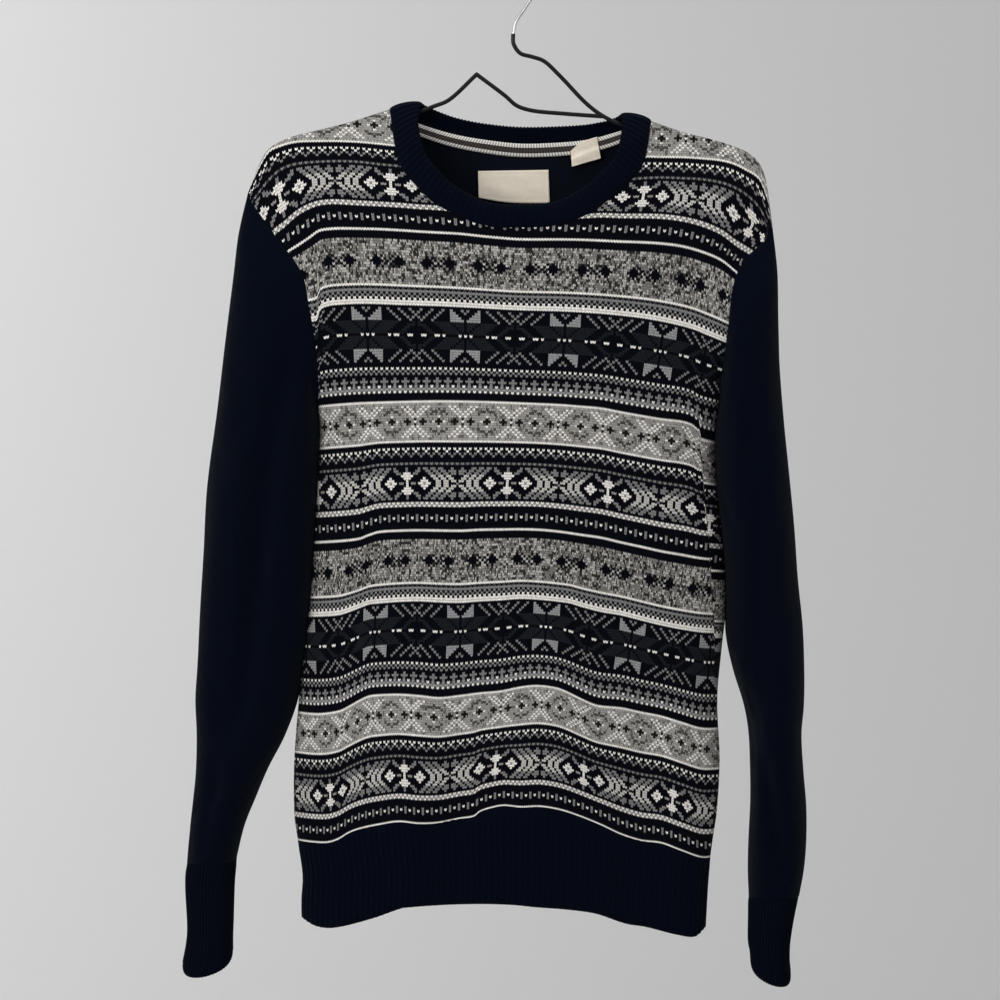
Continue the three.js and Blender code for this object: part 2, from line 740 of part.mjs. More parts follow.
// One ring of a sleeve or cuff, from its inner end round the front to its outer end and
// back, with points at the given shares of each half.
function ring(row, frontShares, backShares, folds, share) {
  const chord = new THREE.Vector3(row.outX - row.inX, 0, row.outZ - row.inZ);
  const toBody = new THREE.Vector3(-chord.z, 0, chord.x).normalize();
  if (toBody.x * row.outX > 0) toBody.negate();
  const half = (front) => {
    const fine = [];
    for (let i = 0; i <= RING_STEPS; i += 1) {
      const angle = (Math.PI * i) / RING_STEPS;
      const across = (1 - Math.cos(angle)) / 2;
      let depth = row.depth * Math.sin(angle) ** SLEEVE_ROUNDNESS;
      for (const fold of front ? folds : []) {
        const along = (share - fold.from) / (fold.to - fold.from);
        if (along <= 0 || along >= 1) continue;
        const centre = THREE.MathUtils.lerp(fold.startAcross, fold.endAcross, along);
        const off = (across - centre) / fold.width;
        const fade = Math.sin(Math.PI * along) ** SLEEVE_FOLD_FADE;
        depth += fold.height * Math.exp(-off * off) * fade * Math.sin(angle);
      }
      const point = new THREE.Vector3(row.inX, 0, row.inZ).addScaledVector(chord, across);
      point.addScaledVector(toBody, (row.bow ?? 0) * Math.sin(Math.PI * across) ** BOW_POWER);
      point.y = front ? -depth : depth;
      fine.push(point);
    }
    return pointsAt(fine, front ? frontShares : backShares);
  };
  return [...half(true), ...half(false).reverse().slice(1, -1)];
}

// A tube's grid through an open edge line and the rings of a table.
function tubeGrid(edge, table, folds) {
  const half = edge.points.length / 2;
  const last = table.length - 1;
  const frontShares = sharesOf(edge.points.slice(0, half + 1));
  const backShares = sharesOf([edge.points[0], ...edge.points.slice(half).reverse()]);
  return [
    edge.points,
    ...table.map((row, i) => ring(row, frontShares, backShares, folds, i / last)),
  ];
}

function sleeve(name, edge, table, folds) {
  const grid = tubeGrid(edge, table, folds);
  const first = edge.points.map((v, j) =>
    v.clone().addScaledVector(edge.away[j], FIRST_SLEEVE_RING));
  grid.splice(1, 0, first);
  const centres = grid.map((row) =>
    row.reduce((sum, v) => sum.add(v), new THREE.Vector3()).divideScalar(row.length));
  const inward = inwardOf(grid, true, (i, j) => centres[i].clone().sub(grid[i][j]).normalize());
  edge.inward.forEach((v, j) => inward[0][j].copy(v));
  return { grid, inward, mesh: cloth(name, wall(grid, inward, CLOTH, true), COLOURS.navy) };
}

// Points evenly along an edge line made of straight runs, with their inward directions.
function alongEdge(points, inward, count, closed) {
  const line = closed ? [...points, points[0]] : points;
  const directions = closed ? [...inward, inward[0]] : inward;
  const lengths = runLengths(line);
  const total = lengths[lengths.length - 1];
  const result = { points: [], inward: [] };
  let k = 0;
  const number = closed ? count : count + 1;
  for (let i = 0; i < number; i += 1) {
    const want = (total * i) / count;
    while (k < line.length - 2 && lengths[k + 1] < want) k += 1;
    const t = (want - lengths[k]) / (lengths[k + 1] - lengths[k]);
    result.points.push(line[k].clone().lerp(line[k + 1], t));
    result.inward.push(directions[k].clone().lerp(directions[k + 1], t).normalize());
  }
  return result;
}

// Every second column of a ribbed grid stands out from the others.
function raiseRibs(grid, inward) {
  grid.forEach((row, i) => row.forEach((v, j) => {
    if (j % 2 === 0) v.addScaledVector(inward[i][j], -RIB_HEIGHT);
  }));
}

function cuff(name, above, table) {
  const last = above.grid.length - 1;
  const inside = above.grid[last].map((v, j) => above.grid[last - 1][j].clone().sub(v));
  const seam = seamLine(above.grid[last], above.inward[last], inside, true);
  const edge = alongEdge(seam.points, seam.inward, CUFF_RIBS * 2, true);
  const grid = tubeGrid(edge, table, []);
  const centres = grid.map((row) =>
    row.reduce((sum, v) => sum.add(v), new THREE.Vector3()).divideScalar(row.length));
  const inward = inwardOf(grid, true, (i, j) => centres[i].clone().sub(grid[i][j]).normalize());
  edge.inward.forEach((v, j) => inward[0][j].copy(v));
  const geometry = ribbedWall(grid, inward, true);
  return cloth(name, geometry, COLOURS.navy);
}

// A wall whose outer points carry ribs over a plain inside.
function ribbedWall(grid, inward, closed) {
  const plain = grid.map((row) => row.map((v) => v.clone()));
  raiseRibs(grid, inward);
  const geometry = wall(grid, inward, CLOTH, closed);
  const at = geometry.getAttribute("position");
  const count = grid.length * grid[0].length;
  plain.flat().forEach((v, k) => {
    const direction = inward.flat()[k];
    const inner = v.clone().addScaledVector(direction, CLOTH);
    at.setXYZ(count + k, inner.x, inner.y, inner.z);
  });
  geometry.computeVertexNormals();
  return geometry;
}

// The hem rib: a tube that carries on from the bottom edges of both panels.
function hem(front, back) {
  const bottom = [...front.grid[0], ...[...back.grid[0]].reverse().slice(1, -1)];
  const directions = [...front.inward[0], ...[...back.inward[0]].reverse().slice(1, -1)];
  bottom.forEach((v) => {
    if (Math.abs(v.y) < SEAM_GAP) v.y = 0;
  });
  const down = bottom.map(() => new THREE.Vector3(0, 0, 1));
  const seam = seamLine(bottom, directions, down, true);
  const edge = alongEdge(seam.points, seam.inward, HEM_RIBS * 2, true);
  const grid = [edge.points];
  for (let i = 1; i <= HEM_ROWS; i += 1) {
    grid.push(edge.points.map((v) => {
      const { middle, half } = sideEdges(v.z);
      const across = THREE.MathUtils.clamp((v.x - middle) / half, -1, 1);
      const isFront = v.y < 0;
      const end = lookUp(isFront ? HEM_LINES_FRONT : HEM_LINES_BACK, "across", across, "end");
      const z = THREE.MathUtils.lerp(v.z, end, i / HEM_ROWS);
      return bodyPoint(isFront, across, z);
    }));
  }
  const inward = inwardOf(grid, true, (i, j) =>
    new THREE.Vector3(BODY_MIDDLE_X - grid[i][j].x, -grid[i][j].y, 0).normalize());
  edge.inward.forEach((v, j) => inward[0][j].copy(v));
  return cloth("hem", ribbedWall(grid, inward, true), COLOURS.navy);
}

// The closed seam of the neckband: the front from left to right, then the back.
function neckSeam(front, back) {
  const top = front.grid.length - 1;
  const first = SHOULDER_COLUMNS;
  const end = SHOULDER_COLUMNS + NECK_COLUMNS;
  const points = [];
  const inward = [];
  const take = (panel, j) => {
    points.push(panel.grid[top][j].clone());
    inward.push(panel.inward[top][j].clone());
  };
  for (let j = first; j <= end; j += 1) take(front, j);
  for (let j = end - 1; j > first; j -= 1) take(back, j);
  points[0].y = 0;
  points[NECK_COLUMNS].y = 0;
  return { points, inward };
}

function neckFreeEdge(count) {
  const half = (rows, depth) => {
    const line = smoothLine(rows, count);
    return line.map((v, i) => {
      const y = depth * Math.sin((Math.PI * i) / count) ** NECK_EDGE_POWER;
      return new THREE.Vector3(v.x, y, v.z);
    });
  };
  const frontHalf = half(NECK_EDGE_FRONT, -NECK_EDGE_DEPTH_FRONT);
  const backHalf = half(NECK_EDGE_BACK, NECK_EDGE_DEPTH_BACK);
  return { frontHalf, backHalf };
}

// The neckband: a ribbed strip that stands up and in from the neck seam.
function neckband(front, back) {
  const seam = neckSeam(front, back);
  const free = neckFreeEdge(NECK_COLUMNS * 4);
  const inside = seam.points.map((_, i) => {
    const half = NECK_COLUMNS;
    const share = i <= half ? i / half : (2 * half - i) / half;
    const line = i <= half ? free.frontHalf : free.backHalf;
    return line[Math.round(share * (line.length - 1))].clone().sub(seam.points[i]).negate();
  });
  const moved = seamLine(seam.points, seam.inward, inside, true);
  const frontCount = Math.round(NECK_RIBS * NECK_FRONT_SHARE) * 2;
  const backCount = NECK_RIBS * 2 - frontCount;
  const half = NECK_COLUMNS;
  const frontEdge = alongEdge(
    moved.points.slice(0, half + 1), moved.inward.slice(0, half + 1), frontCount, false);
  const backEdge = alongEdge(
    [...moved.points.slice(half), moved.points[0]],
    [...moved.inward.slice(half), moved.inward[0]], backCount, false);
  const edge = {
    points: [...frontEdge.points, ...backEdge.points.slice(1, -1)],
    inward: [...frontEdge.inward, ...backEdge.inward.slice(1, -1)],
  };
  const freeLine = [
    ...evenPoints(free.frontHalf, frontCount),
    ...evenPoints(free.backHalf, backCount).reverse().slice(1, -1),
  ];
  const middle = edge.points.map((v, j) => v.clone().lerp(freeLine[j], 0.5));
  const grid = [edge.points, middle, freeLine];
  const inward = inwardOf(grid, true, (i, j) =>
    NECK_CENTRE.clone().sub(grid[i][j]).normalize());
  edge.inward.forEach((v, j) => inward[0][j].copy(v));
  [0, frontCount].forEach((j) => {
    inward[1][j].set(0, 0, -1);
    inward[2][j].set(0, 0, -1);
  });
  middle.forEach((v, j) => v.addScaledVector(inward[1][j], -NECKBAND_BULGE));
  return cloth("neckband", ribbedWall(grid, inward, true), COLOURS.navy);
}

// The striped tape that covers the back neck seam on the inside.
function neckTape(front, back) {
  const seam = neckSeam(front, back);
  const half = NECK_COLUMNS;
  const points = [...seam.points.slice(half), seam.points[0]];
  const inward = [...seam.inward.slice(half), seam.inward[0]];
  const line = alongEdge(points, inward, TAPE_STEPS, false);
  const free = evenPoints(neckFreeEdge(TAPE_STEPS).backHalf, TAPE_STEPS).reverse();
  const first = Math.round(TAPE_STEPS * (1 - TAPE_ENDS.right));
  const last = Math.round(TAPE_STEPS * (1 - TAPE_ENDS.left));
  const rows = [-1, 0, 1];
  const grid = rows.map((side) => {
    const row = [];
    for (let k = first; k <= last; k += 1) {
      const up = free[k].clone().sub(line.points[k]).normalize();
      const near = line.points[k].clone().addScaledVector(line.inward[k], CLOTH + TAPE_CLEARANCE);
      row.push(near.addScaledVector(up, side * TAPE_HALF_WIDTH));
    }
    return row;
  });
  const directions = rows.map(() => line.inward.slice(first, last + 1));
  return cloth("neck_tape", wall(grid, directions, TRIM_THICKNESS, false), COLOURS.cream);
}

// A patch on the inside of the back panel, at a distance from it.
function insidePatch(corners, columns, rows, off, thickness) {
  const grid = [];
  for (let i = 0; i <= rows; i += 1) {
    const row = [];
    for (let j = 0; j <= columns; j += 1) {
      const top = corners[0].clone().lerp(corners[1], j / columns);
      const low = corners[3].clone().lerp(corners[2], j / columns);
      const at = low.lerp(top, i / rows);
      const { middle, half } = sideEdges(at.y);
      const point = bodyPoint(false, (at.x - middle) / half, at.y);
      point.y -= off;
      row.push(point);
    }
    grid.push(row);
  }
  const inward = grid.map((row) => row.map(() => new THREE.Vector3(0, -1, 0)));
  return wall(grid, inward, thickness, false);
}

function label() {
  const corners = LABEL.map((corner) => new THREE.Vector2(corner.x, corner.z));
  const geometry = insidePatch(corners, 6, 3, PATCH_STAND_OFF, TRIM_THICKNESS);
  return cloth("label", geometry, COLOURS.cream);
}

function sizeTag() {
  const { x, z, width, height, tilt, standOff: off, thickness } = SIZE_TAG;
  const corners = [[-1, 1], [1, 1], [1, -1], [-1, -1]].map(([side, level]) => {
    const corner = new THREE.Vector2((side * width) / 2, (level * height) / 2);
    return corner.rotateAround(new THREE.Vector2(), -tilt).add(new THREE.Vector2(x, z));
  });
  const geometry = insidePatch(corners, 3, 2, PATCH_STAND_OFF + off, thickness);
  return cloth("size_tag", geometry, COLOURS.cream);
}

// A round wire along a line in the plane of the hanger, with its end caps.
function wire(rows, radius, steps) {
  const points = rows.map((row) => new THREE.Vector3(row.x, 0, row.z));
  const path = new THREE.CatmullRomCurve3(points, false, "centripetal");
  const section = new THREE.Shape();
  for (let i = 0; i < WIRE_SIDES; i += 1) {
    const angle = (2 * Math.PI * i) / WIRE_SIDES;
    const at = [radius * Math.cos(angle), radius * Math.sin(angle)];
    if (i === 0) section.moveTo(...at);
    else section.lineTo(...at);
  }
  return new THREE.ExtrudeGeometry(section, { steps, bevelEnabled: false, extrudePath: path });
}

function solid(geometry) {
  const bare = geometry.clone();
  bare.deleteAttribute("normal");
  bare.deleteAttribute("uv");
  const merged = mergeVertices(bare, 1e-4);
  const made = new wasm.Manifold(new wasm.Mesh({
    numProp: 3,
    vertProperties: new Float32Array(merged.getAttribute("position").array),
    triVerts: new Uint32Array(merged.index.array),
  }));
  return made;
}

function fromSolid(made) {
  const mesh = made.getMesh();
  const geometry = new THREE.BufferGeometry();
  geometry.setAttribute("position", new THREE.BufferAttribute(mesh.vertProperties, 3));
  geometry.setIndex(new THREE.BufferAttribute(mesh.triVerts, 1));
  geometry.computeVertexNormals();
  return geometry;
}

// Places of the wire under a shoulder, from the neck out.
function underShoulder(rows, xs) {
  return xs.map((x) => {
    const z = lookUp(rows, "x", x, "z");
    const slope = lookUp(rows, "x", x + 1, "z") - z;
    return { x, z: z - WIRE_BELOW_RIDGE * Math.hypot(1, slope) };
  });
}

function hanger() {
  const rightSide = RIGHT_SHOULDER.filter((row) => row.x < 205);
  const leftSide = LEFT_SHOULDER.filter((row) => row.x > -205);
  const outline = [
    ...RIGHT_ARM,
    ...underShoulder(rightSide, [108, 125, 150, 170, 182]),
    ...RIGHT_LOOP,
    ...LEFT_LOOP,
    ...underShoulder(leftSide, [-186, -165, -140, -118, -106]),
    ...LEFT_ARM_IN,
  ];
  const peak = LEFT_ARM_IN[LEFT_ARM_IN.length - 1];
  const bend = new THREE.SphereGeometry(WIRE_RADIUS * 1.02, 8, 6);
  bend.translate(peak.x, 0, peak.z);
  const made = solid(wire(outline, WIRE_RADIUS, 72))
    .add(solid(wire(INNER_ARM, WIRE_RADIUS, 14)))
    .add(solid(bend));
  return cloth("hanger", fromSolid(made), COLOURS.black, 0.35, 0.2);
}

// The bare hook: it rises from the coated wire and bends over the rail.
function hook() {
  const top = RIGHT_ARM[0];
  const rows = [{ x: top.x, z: top.z + SEAM_GAP }, ...HOOK_SHANK];
  for (let i = 0; i <= HOOK_STEPS; i += 1) {
    const angle = HOOK_START + (HOOK_TURN * i) / HOOK_STEPS;
    rows.push({
      x: HOOK_BEND * Math.cos(angle),
      z: HOOK_RADIUS - HOOK_BEND + HOOK_BEND * Math.sin(angle),
    });
  }
  return cloth("hook", wire(rows, HOOK_RADIUS, 26), COLOURS.steel, 0.3, 1);
}

function jumper() {
  const group = new THREE.Group();
  const front = { grid: panelGrid(true) };
  const back = { grid: panelGrid(false) };
  front.inward = panelInward(front.grid, true);
  back.inward = panelInward(back.grid, false);
  const leftHole = armhole(front, back, true);
  const rightHole = armhole(front, back, false);
  const leftSleeve = sleeve("sleeve_left", leftHole, LEFT_SLEEVE, LEFT_SLEEVE_FOLDS);
  const rightSleeve = sleeve("sleeve_right", rightHole, RIGHT_SLEEVE, RIGHT_SLEEVE_FOLDS);
  group.add(
    cloth("front", wall(front.grid, front.inward, CLOTH, false), COLOURS.fairIsle),
    cloth("back", wall(back.grid, back.inward, CLOTH, false), COLOURS.fairIsle),
    hem(front, back),
    leftSleeve.mesh,
    rightSleeve.mesh,
    cuff("cuff_left", leftSleeve, LEFT_CUFF),
    cuff("cuff_right", rightSleeve, RIGHT_CUFF),
    neckband(front, back),
    neckTape(front, back),
    label(),
    sizeTag(),
    hanger(),
    hook(),
  );
  return group;
}

export default jumper();
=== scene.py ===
import math

import bpy
import numpy as np
from mathutils import Matrix, Vector


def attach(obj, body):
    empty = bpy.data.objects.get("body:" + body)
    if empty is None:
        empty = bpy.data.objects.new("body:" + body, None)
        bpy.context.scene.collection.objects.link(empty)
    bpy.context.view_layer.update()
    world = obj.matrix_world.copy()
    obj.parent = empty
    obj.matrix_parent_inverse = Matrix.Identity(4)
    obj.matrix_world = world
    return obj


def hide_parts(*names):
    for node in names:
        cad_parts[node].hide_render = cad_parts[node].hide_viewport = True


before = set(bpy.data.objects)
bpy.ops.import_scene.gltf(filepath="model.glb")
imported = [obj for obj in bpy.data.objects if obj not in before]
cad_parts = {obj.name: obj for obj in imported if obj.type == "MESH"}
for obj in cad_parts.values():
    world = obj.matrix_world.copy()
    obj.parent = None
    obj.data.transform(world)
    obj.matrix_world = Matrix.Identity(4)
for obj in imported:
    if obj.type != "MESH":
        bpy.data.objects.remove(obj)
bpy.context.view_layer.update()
rng = np.random.default_rng(19)


# Front: one fair isle panel of about 190 stitches and 288 rows of small V-shaped stitches.
# It hangs from the shoulders, so its bands sag towards both sides and dip into the folds.
# Heights and widths are in millimetres from the hook, as in the solids.
HALF_STITCHES = 101
TOP_ROW = 288
ROUNDS_TO_SETTLE = 9
SMALLEST_STITCH = 0.25

LEFT_EDGE = np.array([
    (-840, -184), (-812, -184.5), (-790, -183.5), (-757, -188.5), (-738, -191), (-693, -191),
    (-640, -187), (-600, -183), (-560, -178.5), (-512, -175), (-442, -171), (-404, -170),
    (-360, -170), (-330, -173.5), (-305, -178), (-284, -182), (-268, -191), (-250, -205),
    (-236, -215), (-222, -225), (-211, -230.5), (-200, -234), (-138, -244)])
RIGHT_EDGE = np.array([
    (-840, 158), (-790, 161), (-757, 165), (-738, 168), (-693, 170.5), (-640, 168.5),
    (-600, 172), (-560, 176), (-512, 174), (-474, 170), (-442, 167), (-404, 168),
    (-365, 171.5), (-322, 177), (-298, 179.5), (-281, 184), (-270, 190), (-262, 197),
    (-250, 210), (-239.5, 215.5), (-223, 220), (-138, 232)])
HALF_DEPTH = np.array([(-840, 42), (-757, 45), (-600, 47), (-474, 50), (-138, 50)])
LEFT_SHOULDER = np.array([
    (-230.5, -211), (-225, -197), (-219, -183), (-212, -173), (-200, -166), (-186, -161),
    (-145, -151), (-109.5, -139.5)])
RIGHT_SHOULDER = np.array([
    (112, -149.5), (139, -159), (163, -165), (187, -173), (199, -180), (207, -191),
    (211, -206), (213, -222), (215.5, -239.5)])
NECK_SEAM_FRONT = np.array([
    (-109.5, -139.5), (-107.5, -156), (-101.5, -186), (-89.5, -203.5), (-68.7, -223), (-31, -240),
    (0, -242.2), (32, -240), (60, -229.5), (77, -217), (98, -197.5), (106, -184), (110, -165),
    (112, -149.5)])
NECK_SEAM_BACK = np.array([
    (-109.5, -139.5), (-99, -149.5), (-86, -156), (-58, -164.5), (-27, -170), (5, -173),
    (45, -171.5), (68, -168), (88, -162), (102, -157), (112, -149.5)])

# Right side seam: width of the strip past it, and how far its rows hang lower.
SIDE_STRIP = np.array([
    (-840, 0), (-655, 0), (-646, 0.8), (-585, 8.5), (-551, 13), (-500, 12.5), (-446, 12),
    (-404, 15)])
SIDE_DROP = np.array([(-640, 0), (-590, 3.5), (-540, 9), (-425, 9), (-392, 0)])

# Folds: top x and z, end x and z, width, height.
FRONT_FOLDS = [
    (-128, -250, -168, -420, 13, -5), (-150, -240, -181, -330, 12, 4),
    (-78, -560, -95, -850, 26, 7), (-60, -640, -58, -850, 20, -5),
    (30, -470, 18, -850, 34, 6), (118, -600, 96, -850, 24, -7),
    (148, -560, 138, -850, 20, 4), (140, -255, 168, -430, 15, -5),
    (-150, -470, -136, -800, 20, -4)]
BACK_FOLDS = [
    (-120, -260, -160, -440, 16, -5), (125, -270, 160, -450, 16, -5),
    (-60, -520, -82, -850, 30, 6), (10, -600, 0, -850, 26, -5), (70, -500, 88, -850, 32, 6)]


def curve_between(start, end, start_slope, end_slope, t):
    """Values of a smooth curve from one value to the next, with its slope at both."""
    t2, t3 = t * t, t * t * t
    return (start * (2 * t3 - 3 * t2 + 1) + end * (3 * t2 - 2 * t3)
            + start_slope * (t3 - 2 * t2 + t) + end_slope * (t3 - t2))


def smooth(table, at):
    """Value at a place in a table of rising places, along a smooth line through its rows."""
    keys, values = table[:, 0], table[:, 1]
    low = np.maximum(np.arange(len(keys)) - 1, 0)
    high = np.minimum(np.arange(len(keys)) + 1, len(keys) - 1)
    slopes = (values[high] - values[low]) / (keys[high] - keys[low])
    i = np.clip(np.searchsorted(keys, at, side="right") - 1, 0, len(keys) - 2)
    span = keys[i + 1] - keys[i]
    t = np.clip((at - keys[i]) / span, 0, 1)
    return curve_between(values[i], values[i + 1], span * slopes[i], span * slopes[i + 1], t)


RIDGE = np.vstack([LEFT_SHOULDER, RIGHT_SHOULDER])
RIDGE_ROUND = 4.6
DRAPE_LENGTH = 95
UNDERARM_Z = -404
NECK_BULGE_WIDTH = 115
THINNEST = 0.16


def below_ridge(x, z):
    """Distance from the line of the shoulders, in the front view."""
    nearest = np.full(np.shape(x), 1e9)
    for (ax, az), (bx, bz) in zip(RIDGE[:-1], RIDGE[1:]):
        dx, dz = bx - ax, bz - az
        t = np.clip(((x - ax) * dx + (z - az) * dz) / (dx * dx + dz * dz), 0, 1)
        nearest = np.minimum(nearest, np.hypot(x - ax - t * dx, z - az - t * dz))
    return nearest


def stand_off(is_front, x, z):
    """Distance of the cloth from the plane of the hanger, at a point of the front view."""
    left, right = smooth(LEFT_EDGE, z), smooth(RIGHT_EDGE, z)
    across = np.clip((2 * x - left - right) / (right - left), -1, 1)
    below = below_ridge(x, z)
    near = np.minimum(below, RIDGE_ROUND)
    ridge = np.sqrt(near * (2 * RIDGE_ROUND - near))
    drape = 1 - np.exp(-np.maximum(below - RIDGE_ROUND, 0) / DRAPE_LENGTH)
    bulge = (8 if is_front else 12) * np.maximum(0, 1 - (x / NECK_BULGE_WIDTH) ** 2) ** 2
    neck = bulge * (1 - np.exp(-below / 15)) * np.exp(-below / 160)
    rise = np.clip((z - UNDERARM_Z) / DRAPE_LENGTH, 0, 1)
    opened = 0.86 * np.sqrt(rise)
    power = 0.42 + 0.58 * np.minimum(rise * 1.6, 1)
    section = np.maximum(0, 1 - np.abs(across) ** 2.4) ** power
    folds = np.zeros(np.shape(x))
    for top_x, top_z, end_x, end_z, width, height in FRONT_FOLDS if is_front else BACK_FOLDS:
        along = np.clip((top_z - z) / (top_z - end_z), 0, 1)
        off = (x - top_x - (end_x - top_x) * along) / width
        fade = np.abs(np.sin(np.pi * np.minimum(along, 0.5 + along * 0.3))) ** 0.7
        folds = folds + height * np.exp(-off * off) * fade * (along < 1)
    flat = ridge + (smooth(HALF_DEPTH, z) - RIDGE_ROUND) * drape + neck
    return np.maximum(flat * (opened + (1 - opened) * section) + folds * section * drape,
                      THINNEST)


# Height of some rows of stitches at places across the front: row, then x and z pairs.
ROW_LINES = {
    0: [(-188, -760.5), (-169, -761.6), (-160, -761), (-152, -758), (-144, -753), (-135, -749.5),
        (-118, -745.4), (-101, -742.5), (-84, -744), (-67, -743.5), (-50, -740.2), (-38, -738),
        (-33, -734), (-23, -730.6), (-13, -728.8), (1, -730), (18, -729.5), (35, -732.5),
        (52, -738.3), (69, -745.5), (86, -753.8), (103, -759.5), (120, -761.6), (137, -768),
        (154, -774.4), (166, -775)],
    52: [(-188, -652.5), (-169, -653.3), (-152, -650.8), (-144, -647), (-135, -641.8),
         (-127, -638), (-118, -636.7), (-101, -636), (-84, -637), (-67, -638.7), (-50, -637),
         (-33, -634.8), (-16, -633.2), (1, -629.7), (13, -628.3), (24, -629), (35, -631.5),
         (52, -639.7), (62, -644.3), (69, -646), (86, -647.7), (103, -651.5), (120, -655),
         (137, -660.3), (154, -665.5), (170, -666.3)],
    90.5: [(-183, -569.2), (-169, -568.8), (-152, -567.4), (-144, -565), (-135, -561.6),
           (-127, -558.5), (-118, -557.4), (-101, -556), (-84, -555.5), (-67, -556.3),
           (-50, -556.7), (-33, -555.5), (-16, -554.6), (1, -553.4), (18, -554.2), (35, -556),
           (43, -557.2), (52, -560), (69, -564.4), (86, -567.4), (103, -571.8), (120, -576),
           (137, -579.4), (154, -582), (174, -583.3)],
    118: [(-180, -508.6), (-152, -507), (-135, -505), (-127, -502), (-118, -499.2),
          (-101, -498.1), (-84, -497.7), (-50, -498.1), (-33, -497.3), (-16, -497),
          (1, -496.8), (18, -497.3), (35, -499), (52, -501.5), (69, -504), (86, -508),
          (103, -511.7), (120, -515.5), (137, -518.5), (154, -521.5), (172, -523)],
    170: [(-172, -393.6), (-152, -392), (-135, -391), (-101, -390), (-67, -389.5),
          (-33, -390), (1, -391.2), (35, -392.7), (52, -394), (69, -395.5), (86, -398.7),
          (103, -401.7), (120, -404.4), (137, -406.3), (146, -409), (152, -413.5), (170, -417)],
    208.5: [(-178.6, -320), (-170, -318.4), (-168.5, -311), (-161.5, -306.9), (-152, -305.6),
            (-135, -304.8), (-118, -305.2), (-101, -306), (-84, -306.6), (-67, -307.2),
            (-50, -308.1), (-33, -309), (-16, -310), (1, -310.8), (35, -311.7), (52, -312.5),
            (69, -313.6), (86, -315.1), (103, -317), (120, -319.8), (137, -323.5),
            (149, -326.9), (156, -329.8), (178, -338.7)],
    236: [(-210, -272), (-196, -262.6), (-185.6, -256.2), (-176.5, -250), (-169, -244.8),
          (-156.7, -243.2), (-146, -243.1), (-131, -243.4), (-118, -243.8), (-101, -244.8),
          (-84, -246), (-67, -247), (-50, -248), (-33, -249.9), (-16, -251.6), (1, -252.8),
          (35, -252.8), (52, -253), (69, -253.7), (86, -254.5), (103, -255), (120, -256),
          (137, -258), (154, -262.4), (171, -269.4), (185, -280.5), (210, -300)],
    246.5: [(-228, -264), (-207, -245.6), (-199, -239.5), (-191.6, -232.7), (-185.6, -228.1),
            (-176.5, -223.5), (-169, -221.3), (-156.7, -220.2), (-138.5, -221.3),
            (-118, -222.4), (-101, -223.5), (-84, -225), (-67, -226), (-30, -229), (0, -231),
            (51.5, -233), (69, -232), (86, -232.5), (103, -232.5), (120, -232.9),
            (137, -234.9), (154, -238.9), (171, -245.9), (184, -255.3), (196, -262.4),
            (215, -275)],
    263: [(-232, -226), (-220.5, -210.7), (-213, -201.5), (-203, -192.5), (-191.6, -187.9),
          (-176.5, -186), (-152, -185.2), (-135, -186), (-118, -188.2), (-98, -190.2),
          (-40, -196), (40, -202), (94, -201), (103, -200.3), (120, -199.4), (137, -199.9),
          (154, -200.6), (171, -203.4), (184, -208.1), (195, -215.1), (204, -224.4),
          (212, -238.9), (220, -255)],
    272: [(-236, -222), (-222, -192), (-214.5, -178.5), (-210, -174.3), (-203, -171.5),
          (-194.7, -169), (-185.6, -167.7), (-169, -167.5), (-152, -167.7), (-135, -168.6),
          (-118, -170.4), (-107, -171.7), (-40, -177), (40, -183), (108, -181.3),
          (120, -181.5), (137, -181.5), (154, -182.4), (171, -184), (182, -186.8),
          (191.6, -191.3), (204, -199.4), (209, -210.5), (216, -232)],
}

# Places of the stitch columns at some heights, every 18 stitches from the left side.
COLUMN_Z = np.array(
    [-729, -697, -646, -582, -523, -461, -408, -334, -270, -238, -206, -130.0])
COLUMN_STEP = 18
PIXEL = 0.85
COLUMN_X = (np.array([
    (314, 346, 378, 415, 455, 495, 534, 573, 613, 653, 693),
    (312, 345, 377, 414, 455, 495, 535, 574, 614, 655, 697),
    (308, 342, 374, 412, 458, 501, 541, 578, 620, 665, 704),
    (306, 339, 376, 418, 461, 503, 545, 588, 631, 673, 711),
    (301, 339, 378, 418, 461, 504.6, 548.5, 593, 637.5, 683.5, 728),
    (300, 334, 376, 418, 463, 507, 553, 597, 642, 690, 737),
    (296, 331, 371, 416, 463, 511, 557.6, 602, 648.8, 694, 735),
    (275, 321, 369, 418, 466, 515, 564, 613, 661, 706, 745),
    (266, 316, 364.3, 413.6, 464.3, 515.5, 567.5, 619.7, 669, 714, 752),
    (259, 309, 358.5, 408, 462, 517, 572, 626, 676, 730, 779),
    (246, 303, 352.5, 403, 460, 518, 576, 633, 682, 729, 775),
    (234, 295, 347, 400, 459, 519, 579, 637, 689, 732, 771),
], float) - 519) * PIXEL


ACROSS_XS = np.arange(-260.0, 250.0, 1.0)


def row_heights(lines):
    """The key rows, and the height of each at every millimetre across."""
    keys = sorted(lines)
    return np.array(keys), np.array([smooth(np.array(lines[key]), ACROSS_XS) for key in keys])


FRONT_ROWS = row_heights(ROW_LINES)


def height_of_row(rows_table, row, x):
    """Height of a row of stitches at a place across."""
    keys, heights = rows_table
    at = np.clip(x - ACROSS_XS[0], 0, len(ACROSS_XS) - 1.001)
    i, past = at.astype(int), at % 1
    k = np.clip(np.searchsorted(keys, row, side="right") - 1, 0, len(keys) - 2)
    share = (row - keys[k]) / (keys[k + 1] - keys[k])
    low = heights[k, i] * (1 - past) + heights[k, i + 1] * past
    high = heights[k + 1, i] * (1 - past) + heights[k + 1, i + 1] * past
    return low * (1 - share) + high * share


